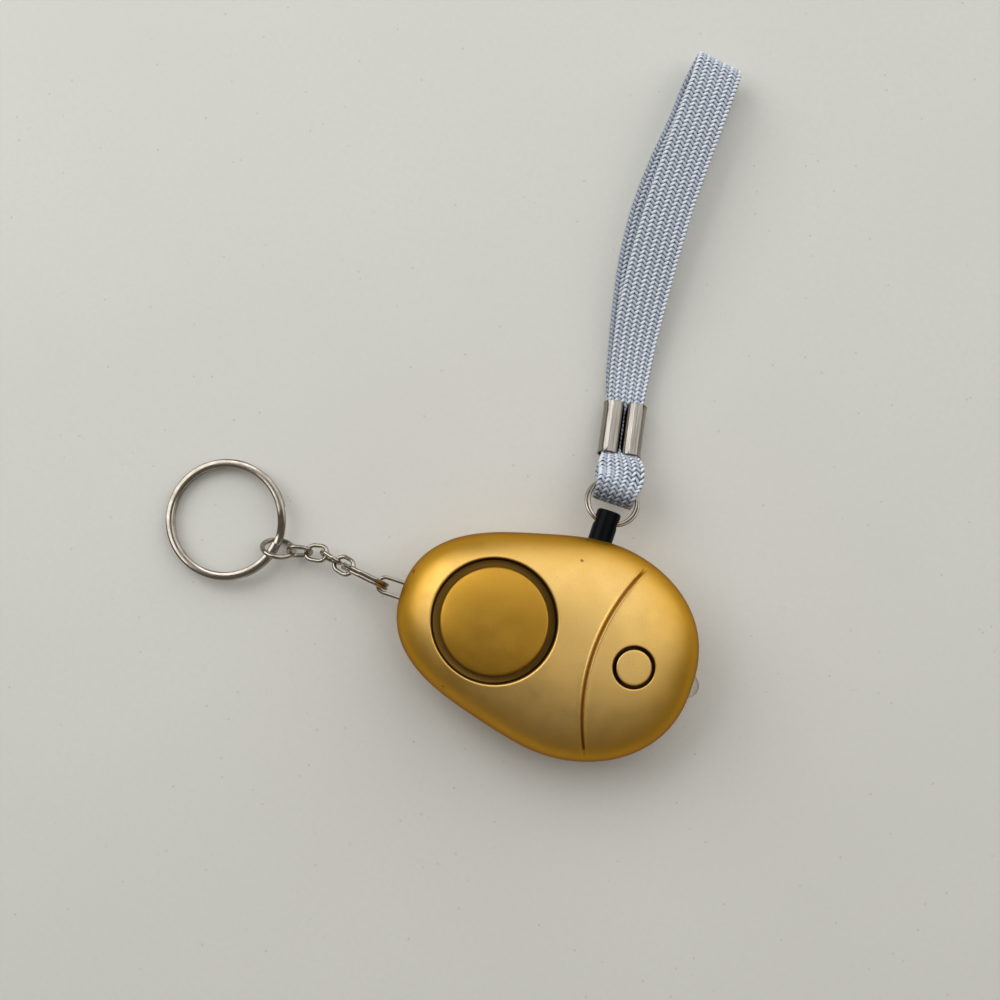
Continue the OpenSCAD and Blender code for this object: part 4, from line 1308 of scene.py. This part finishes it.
@dataclass
class WristStrap:
    """A flat tubular braid: out of the clip, round the ring, through the clip and round the wrist loop.

    Args:
        clip: the clip that holds it.
        width, mouth_w, fold_w: full width, width in the clip's mouths and width in the fold on the ring.
        layer, squeezed: half the distance between its two runs at the clip's mouths and inside the clip.
        slim: share of the full thickness that is left inside the clip.
        fold_z, fold_depth: half the height of the fold round the ring, and how far it hangs past the ring.
        loop_turn: how far the wrist loop turns about its length, in degrees.
        bight: the fold's bend, in depths and heights.
        hook, ring_dir, ring_up: where it lies on the strap ring, and the ring's own directions.
        strands, stitch: strands of each of the two families, and their spacing along the strap.
        strand_w, strand_t, sides: half the width and thickness of a strand, and points round it.
        tube_t, weave: half the thickness of the tube that the strands wind round, and how far they rise.
        pitch: run between a strand's sections.
        core_inset, core_t: how much narrower the core is on each side, and half its thickness.
        loop_route: points of the wrist loop, in plan from the clip's upper mouth.
    """

    clip: StrapClip
    width: float = 10.0
    mouth_w: float = 7.6
    layer: float = 0.8
    squeezed: float = 0.14
    slim: float = 0.3
    fold_z: float = 2.3
    fold_depth: float = 4.75
    fold_w: float = 8.6
    loop_turn: float = 18.0
    bight: tuple[tuple[float, float], ...] = ((0.63, 0.95), (0.91, 0.6), (1, 0), (0.91, -0.6), (0.63, -0.95))
    hook: Array = field(default_factory=lambda: np.array([4.0, 35.6525, 7.08792]))
    ring_dir: Array = field(default_factory=lambda: np.array([0.0, 0.939693, -0.342020]))
    ring_up: Array = field(default_factory=lambda: np.array([0.0, 0.342020, 0.939693]))
    strands: int = 22
    stitch: float = 0.92
    strand_w: float = 0.3
    strand_t: float = 0.21
    sides: int = 6
    tube_t: float = 0.33
    weave: float = 0.16
    pitch: float = 0.245
    core_inset: float = 0.45
    core_t: float = 0.3
    loop_route: tuple[Triple, ...] = (
        (-1, 5.3, 3.4), (-2.2, 12.3, 3.8), (-3.2, 20.3, 4.7), (-4, 30.3, 5.9), (-4.4, 40.3, 6.9),
        (-4.3, 50.3, 7.5), (-4, 60.3, 7.8), (-3.8, 67.8, 7.4), (-3.8, 71.8, 6), (-3.9, 73, 4.2),
        (-4.3, 72, 2.3), (-4.9, 68.6, 1.1), (-5.5, 60.3, 0.8), (-6.6, 50.3, 0.8), (-7, 40.3, 0.8),
        (-6.2, 30.3, 0.8), (-4.5, 20.3, 0.8), (-2.8, 11.3, 0.8), (-1.4, 4.3, 1.1))

    def route(self) -> tuple[Array, Array]:
        """The strap's middle line as chosen points.

        Returns:
            Points, and for each its width, its share of the full thickness and the bearing of its width in
            plan, in degrees.
        """
        c = self.clip
        mid = 0.45 * self.hook + 0.55 * c.at
        lift = self.fold_z * self.ring_up
        layer = self.layer * c.up
        deep, high = np.array(self.bight).T[:, :, None]
        fold = np.concatenate([
            [c.at + layer, mid + 0.85 * lift, self.hook + lift],
            self.hook - self.fold_depth * deep * self.ring_dir + high * lift,
            [self.hook - lift, mid - 0.85 * lift, c.at - layer]])[::-1]
        half = [self.mouth_w, self.width - 0.6, self.width - 0.2, self.fold_w + 0.4, self.fold_w]
        fold_w = np.array([*half, self.fold_w, *half[::-1]])
        fold_yaw = self.clip.yaw * np.array([1, 0.6, 0, 0, 0, 0, 0, 0, 0, 0.6, 1])
        loop = np.array(self.loop_route)
        loop[:, :2] += c.top[:2]
        loop = np.concatenate([[c.top + layer], loop, [c.top - layer]])
        t = np.linspace(0, 1, len(loop))
        swell = np.minimum(1, 6 * np.minimum(t, 1 - t))
        loop_yaw = c.yaw - self.loop_turn * np.sin(np.pi * t)
        inner = self.squeezed * c.up
        points = np.concatenate([
            [c.at - inner + 3.4 * c.along, c.at - inner + 1.6 * c.along], fold,
            [c.at + inner + 1.6 * c.along, c.at + inner + 5.6 * c.along, c.top + inner - 1.6 * c.along], loop,
            [c.top - inner - 1.6 * c.along, c.top - inner - 3.4 * c.along]])
        widths = np.concatenate([[self.mouth_w] * 2, fold_w, [self.mouth_w] * 3,
                                 self.mouth_w + (self.width - self.mouth_w) * swell, [self.mouth_w] * 2])
        full = np.concatenate([[self.slim] * 2, [0.8], np.ones(9), [0.8], [self.slim] * 3, [0.8],
                               np.ones(len(loop) - 2), [0.8], [self.slim] * 2])
        yaws = np.concatenate([[c.yaw] * 2, fold_yaw, [c.yaw] * 3, loop_yaw, [c.yaw] * 2])
        return points, np.stack([widths, full, yaws], -1)

    def frames(self, step: float) -> tuple[Array, Array, Array, Array]:
        """The strap's line at even spacing, its width and face directions, and its width and thickness."""
        path, facts = flowing(*self.route(), step)
        ahead = headings(path)
        yaw = np.radians(facts[:, 2])
        wide = np.stack([np.cos(yaw), np.sin(yaw), np.zeros(len(yaw))], -1)
        wide = unit(wide - np.sum(wide * ahead, -1, keepdims=True) * ahead)
        return path, wide, np.cross(ahead, wide), facts[:, :2]

    def stadium(self, q: Array, half_w: Array, half_t: Array) -> tuple[Array, Array, Array, Array]:
        """A place on a flattened tube's outline: two straights and two half circles.

        Args:
            q: share of the way round, from 0 to 1.
            half_w, half_t: half its width and half its thickness.

        Returns:
            Places across and through the strap, and the outward direction's two parts.
        """
        flat = 2 * (half_w - half_t)
        arc = np.pi * half_t
        x = (q % 1) * 2 * (flat + arc)
        back = x >= flat + arc
        x = np.where(back, x - flat - arc, x)
        a = np.clip((x - flat) / half_t, 0, np.pi)
        flip = np.where(back, -1.0, 1.0)
        across = flip * (np.minimum(x, flat) - flat / 2 + half_t * np.sin(a))
        return across, flip * half_t * np.cos(a), flip * np.sin(a), flip * np.cos(a)

    def strands_of(self, way: int, first: int, count: int) -> Surface:
        """Some strands of one family.

        A strand winds round the flattened tube at an even rate. It rises and dips by a cosine of its place
        round the tube, so that it shows over two strands of the other family and then goes under two. It is
        darkened by painted shade where it dips, and by painted shade under the turn near the fold round the
        ring.

        Args:
            way: 1 or -1, the family's way round.
            first: number of the first strand.
            count: how many strands.

        Returns:
            The strands as one surface of closed tubes.
        """
        path, wide, face, facts = self.frames(self.pitch)
        n, sides = len(path), self.sides
        s = np.arange(n) * self.pitch
        k = np.arange(first, first + count)[:, None]
        q = k / self.strands + way * s / (self.strands * self.stitch)
        half_w, half_t = facts[:, 0] / 2 - self.strand_w, self.tube_t * facts[:, 1]
        across, through, out_w, out_n = self.stadium(q, half_w, half_t)
        wave = way * np.cos(self.strands * np.pi * q)
        lift = self.weave * facts[:, 1] * wave
        middle = path + (across + lift * out_w)[..., None] * wide + (through + lift * out_n)[..., None] * face
        ahead = unit(np.gradient(middle, axis=1))
        out = out_w[..., None] * wide + out_n[..., None] * face
        out = unit(out - np.sum(out * ahead, -1, keepdims=True) * ahead)
        side = np.cross(ahead, out)
        a = TURN * np.arange(sides) / sides
        ring = (middle[:, :, None] + self.strand_w * np.cos(a)[:, None] * side[:, :, None]
                + self.strand_t * np.sin(a)[:, None] * out[:, :, None])
        tube = grid_quads(n, sides, True)
        ends = np.stack([np.arange(sides), (n - 1) * sides + np.arange(sides)[::-1]])
        shift = (np.arange(count) * n * sides)[:, None, None]
        faces = [(tube + shift).reshape(-1, 4), (ends + shift).reshape(-1, sides)]
        round_it = k[..., None] * 3.7 + np.arange(sides) / sides
        uv = np.stack(np.broadcast_arrays(s[None, :, None], round_it), -1).reshape(-1, 2)
        fold_distance = np.linalg.norm(path - self.hook + self.fold_depth * self.ring_dir, axis=1)
        # Painted shade where a strand dips, and under the turn near the fold round the ring.
        painted_shade = np.maximum(smooth((0.75 - wave) / 1.2), 0.6 * smooth((4.2 - fold_distance) / 3.0))
        return Surface(ring.reshape(-1, 3), faces, uv, np.repeat(painted_shade.ravel(), sides)).outward()

    def build(self, clip: bpy.types.Object) -> None:
        """Adds the strap's core, which stands in for the wrist_strap node, and its strands."""
        path, wide, face, facts = self.frames(1.2)
        half = np.stack([facts[:, 0] / 2 - self.core_inset, self.core_t * facts[:, 1]], -1)[:, None]
        # The core's near-black colour is painted shade inside the braid, seen between the strands.
        core = sweep(path, wide, face, rounded_section(1.0, 1.0, 4.0, 16) * half)
        cord = add_piece(core.mesh("strap_core_painted_shade"), STRAP_CORE_SHADE, "strap", ["wrist_strap"])
        # The right family wears the shaded copy and the left family the lit copy: painted light and shade.
        for way, word, finish in ((1, "right", SHADED_YARN), (-1, "left", LIT_YARN)):
            for part in (0, 1):
                yarn = self.strands_of(way, part * self.strands // 2, self.strands // 2)
                add_piece(yarn.mesh(f"strands_{word}_{part + 1}", 80.0), finish, "strap")


# Studio


@dataclass
class Studio:
    """Floor, light and the photograph's camera.

    Args:
        eye: place of the camera, which looks straight down.
        image_up: direction of the picture's top.
        view: width of floor in the picture.
        rise: how far the picture's middle lies above the point under the camera, as a share of the view.
        sensor: width of the camera's sensor.
        floor_half, floor_z: half the floor's width, and its height.
        floor_colour, speck_colour: colours of the floor and of its specks.
        windows: name, place and size in metres and power of each window.
        aim: place in metres that the windows face.
        window_colour, room_colour, room_light: colours of the windows and the room, and the room's strength.
    """

    eye: Triple = (-9.6, -1.1, 300.0)
    image_up: Triple = (-0.316, 0.949, 0.0)
    view: float = 210.5
    rise: float = 0.129
    sensor: float = 36.0
    floor_half: float = 1500.0
    floor_z: float = -0.02
    floor_colour: Triple = (0.75, 0.735, 0.68)
    speck_colour: Triple = (0.36, 0.34, 0.29)
    windows: tuple[tuple[str, Triple, float, float], ...] = (
        ("window_left", (-0.62, 0.2, 0.55), 0.7, 3.6), ("window_top", (0.3, 0.74, 0.78), 1.8, 12.0))
    aim: Triple = (0.0, 0.02, 0.0)
    window_colour: Triple = (0.95, 0.98, 1.0)
    room_colour: Triple = (1.0, 0.92, 0.82)
    room_light: float = 0.17

    def add_camera(self) -> None:
        """A camera whose picture spans the view's width on the floor."""
        data = bpy.data.cameras.new("photo_camera")
        data.sensor_fit = "HORIZONTAL"
        data.sensor_width = self.sensor
        data.lens = self.sensor * self.eye[2] / self.view
        data.shift_y = self.rise
        data.clip_start = 0.01
        camera = bpy.data.objects.new("photo_camera", data)
        back, up = Vector((0, 0, 1)), Vector(self.image_up).normalized()
        turn = Matrix((up.cross(back), up, back)).transposed().to_4x4()
        camera.matrix_world = Matrix.Translation(Vector(self.eye) * MM) @ turn
        bpy.context.scene.collection.objects.link(camera)
        bpy.context.scene.camera = camera

    def add_floor(self) -> None:
        """A pale stone-like floor with fine specks, one wide square grid."""
        g = np.linspace(-self.floor_half, self.floor_half, 13)
        x, y = np.meshgrid(g, g, indexing="ij")
        points = np.stack([x, y, np.full_like(x, self.floor_z)], -1).reshape(-1, 3)
        mesh = Surface(points, [grid_quads(13, 13)]).mesh("floor")
        graph = Graph("pale_floor")
        at = graph.place()
        cloud = graph.between(graph.noise(at, 18.0, 4.0), 0.0, 1.0)
        fine = graph.between(graph.noise(at, 900.0, 3.0), 0.0, 0.5)
        base = self.floor_colour
        shade = graph.mix(cloud, base, tuple(0.965 * c for c in base))
        shade = graph.mix(fine, shade, tuple(0.93 * c for c in base))
        shade = graph.mix(graph.spots(at, 240.0, 0.03, 0.08, 0.35), shade, self.speck_colour)
        mesh.materials.append(graph.finish(Base_Color=shade, Roughness=0.55))
        floor = bpy.data.objects.new("floor", mesh)
        bpy.context.scene.collection.objects.link(floor)

    def add_light(self) -> None:
        """Two broad soft windows at the picture's top and left, and a dim room."""
        for name, place, size, power in self.windows:
            data = bpy.data.lights.new(name, "AREA")
            data.shape = "SQUARE"
            data.size = size
            data.energy = power
            data.color = self.window_colour
            lamp = bpy.data.objects.new(name, data)
            lamp.location = place
            lamp.rotation_euler = (Vector(self.aim) - Vector(place)).to_track_quat("-Z", "Y").to_euler()
            bpy.context.scene.collection.objects.link(lamp)
        world = bpy.data.worlds.new("room")
        world.use_nodes = True
        background = world.node_tree.nodes["Background"]
        background.inputs["Color"].default_value = (*self.room_colour, 1.0)
        background.inputs["Strength"].default_value = self.room_light
        bpy.context.scene.world = world
        bpy.context.scene.view_settings.view_transform = "Standard"

    def build(self) -> None:
        """Builds the studio."""
        self.add_camera()
        self.add_floor()
        self.add_light()


def main() -> None:
    """Builds the studio, the strap, the case and the chain."""
    logging.basicConfig(level=logging.INFO, format="%(name)s: %(message)s")
    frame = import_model()
    Studio().build()
    dress_nodes(frame["nodes"])
    clip = StrapClip()
    WristStrap(clip).build(clip.build())
    SplitRing("strap_split_ring", "strap_ring", "strap_ring", (4.0, 30.8135, 8.8492), (0, 0, -20),
              5.45, 0.6, 1.2, 115.0, spread=0.6).build()
    Case().build()
    for piece in KEY_CHAIN:
        piece.build()


if __name__ == "__main__":
    main()
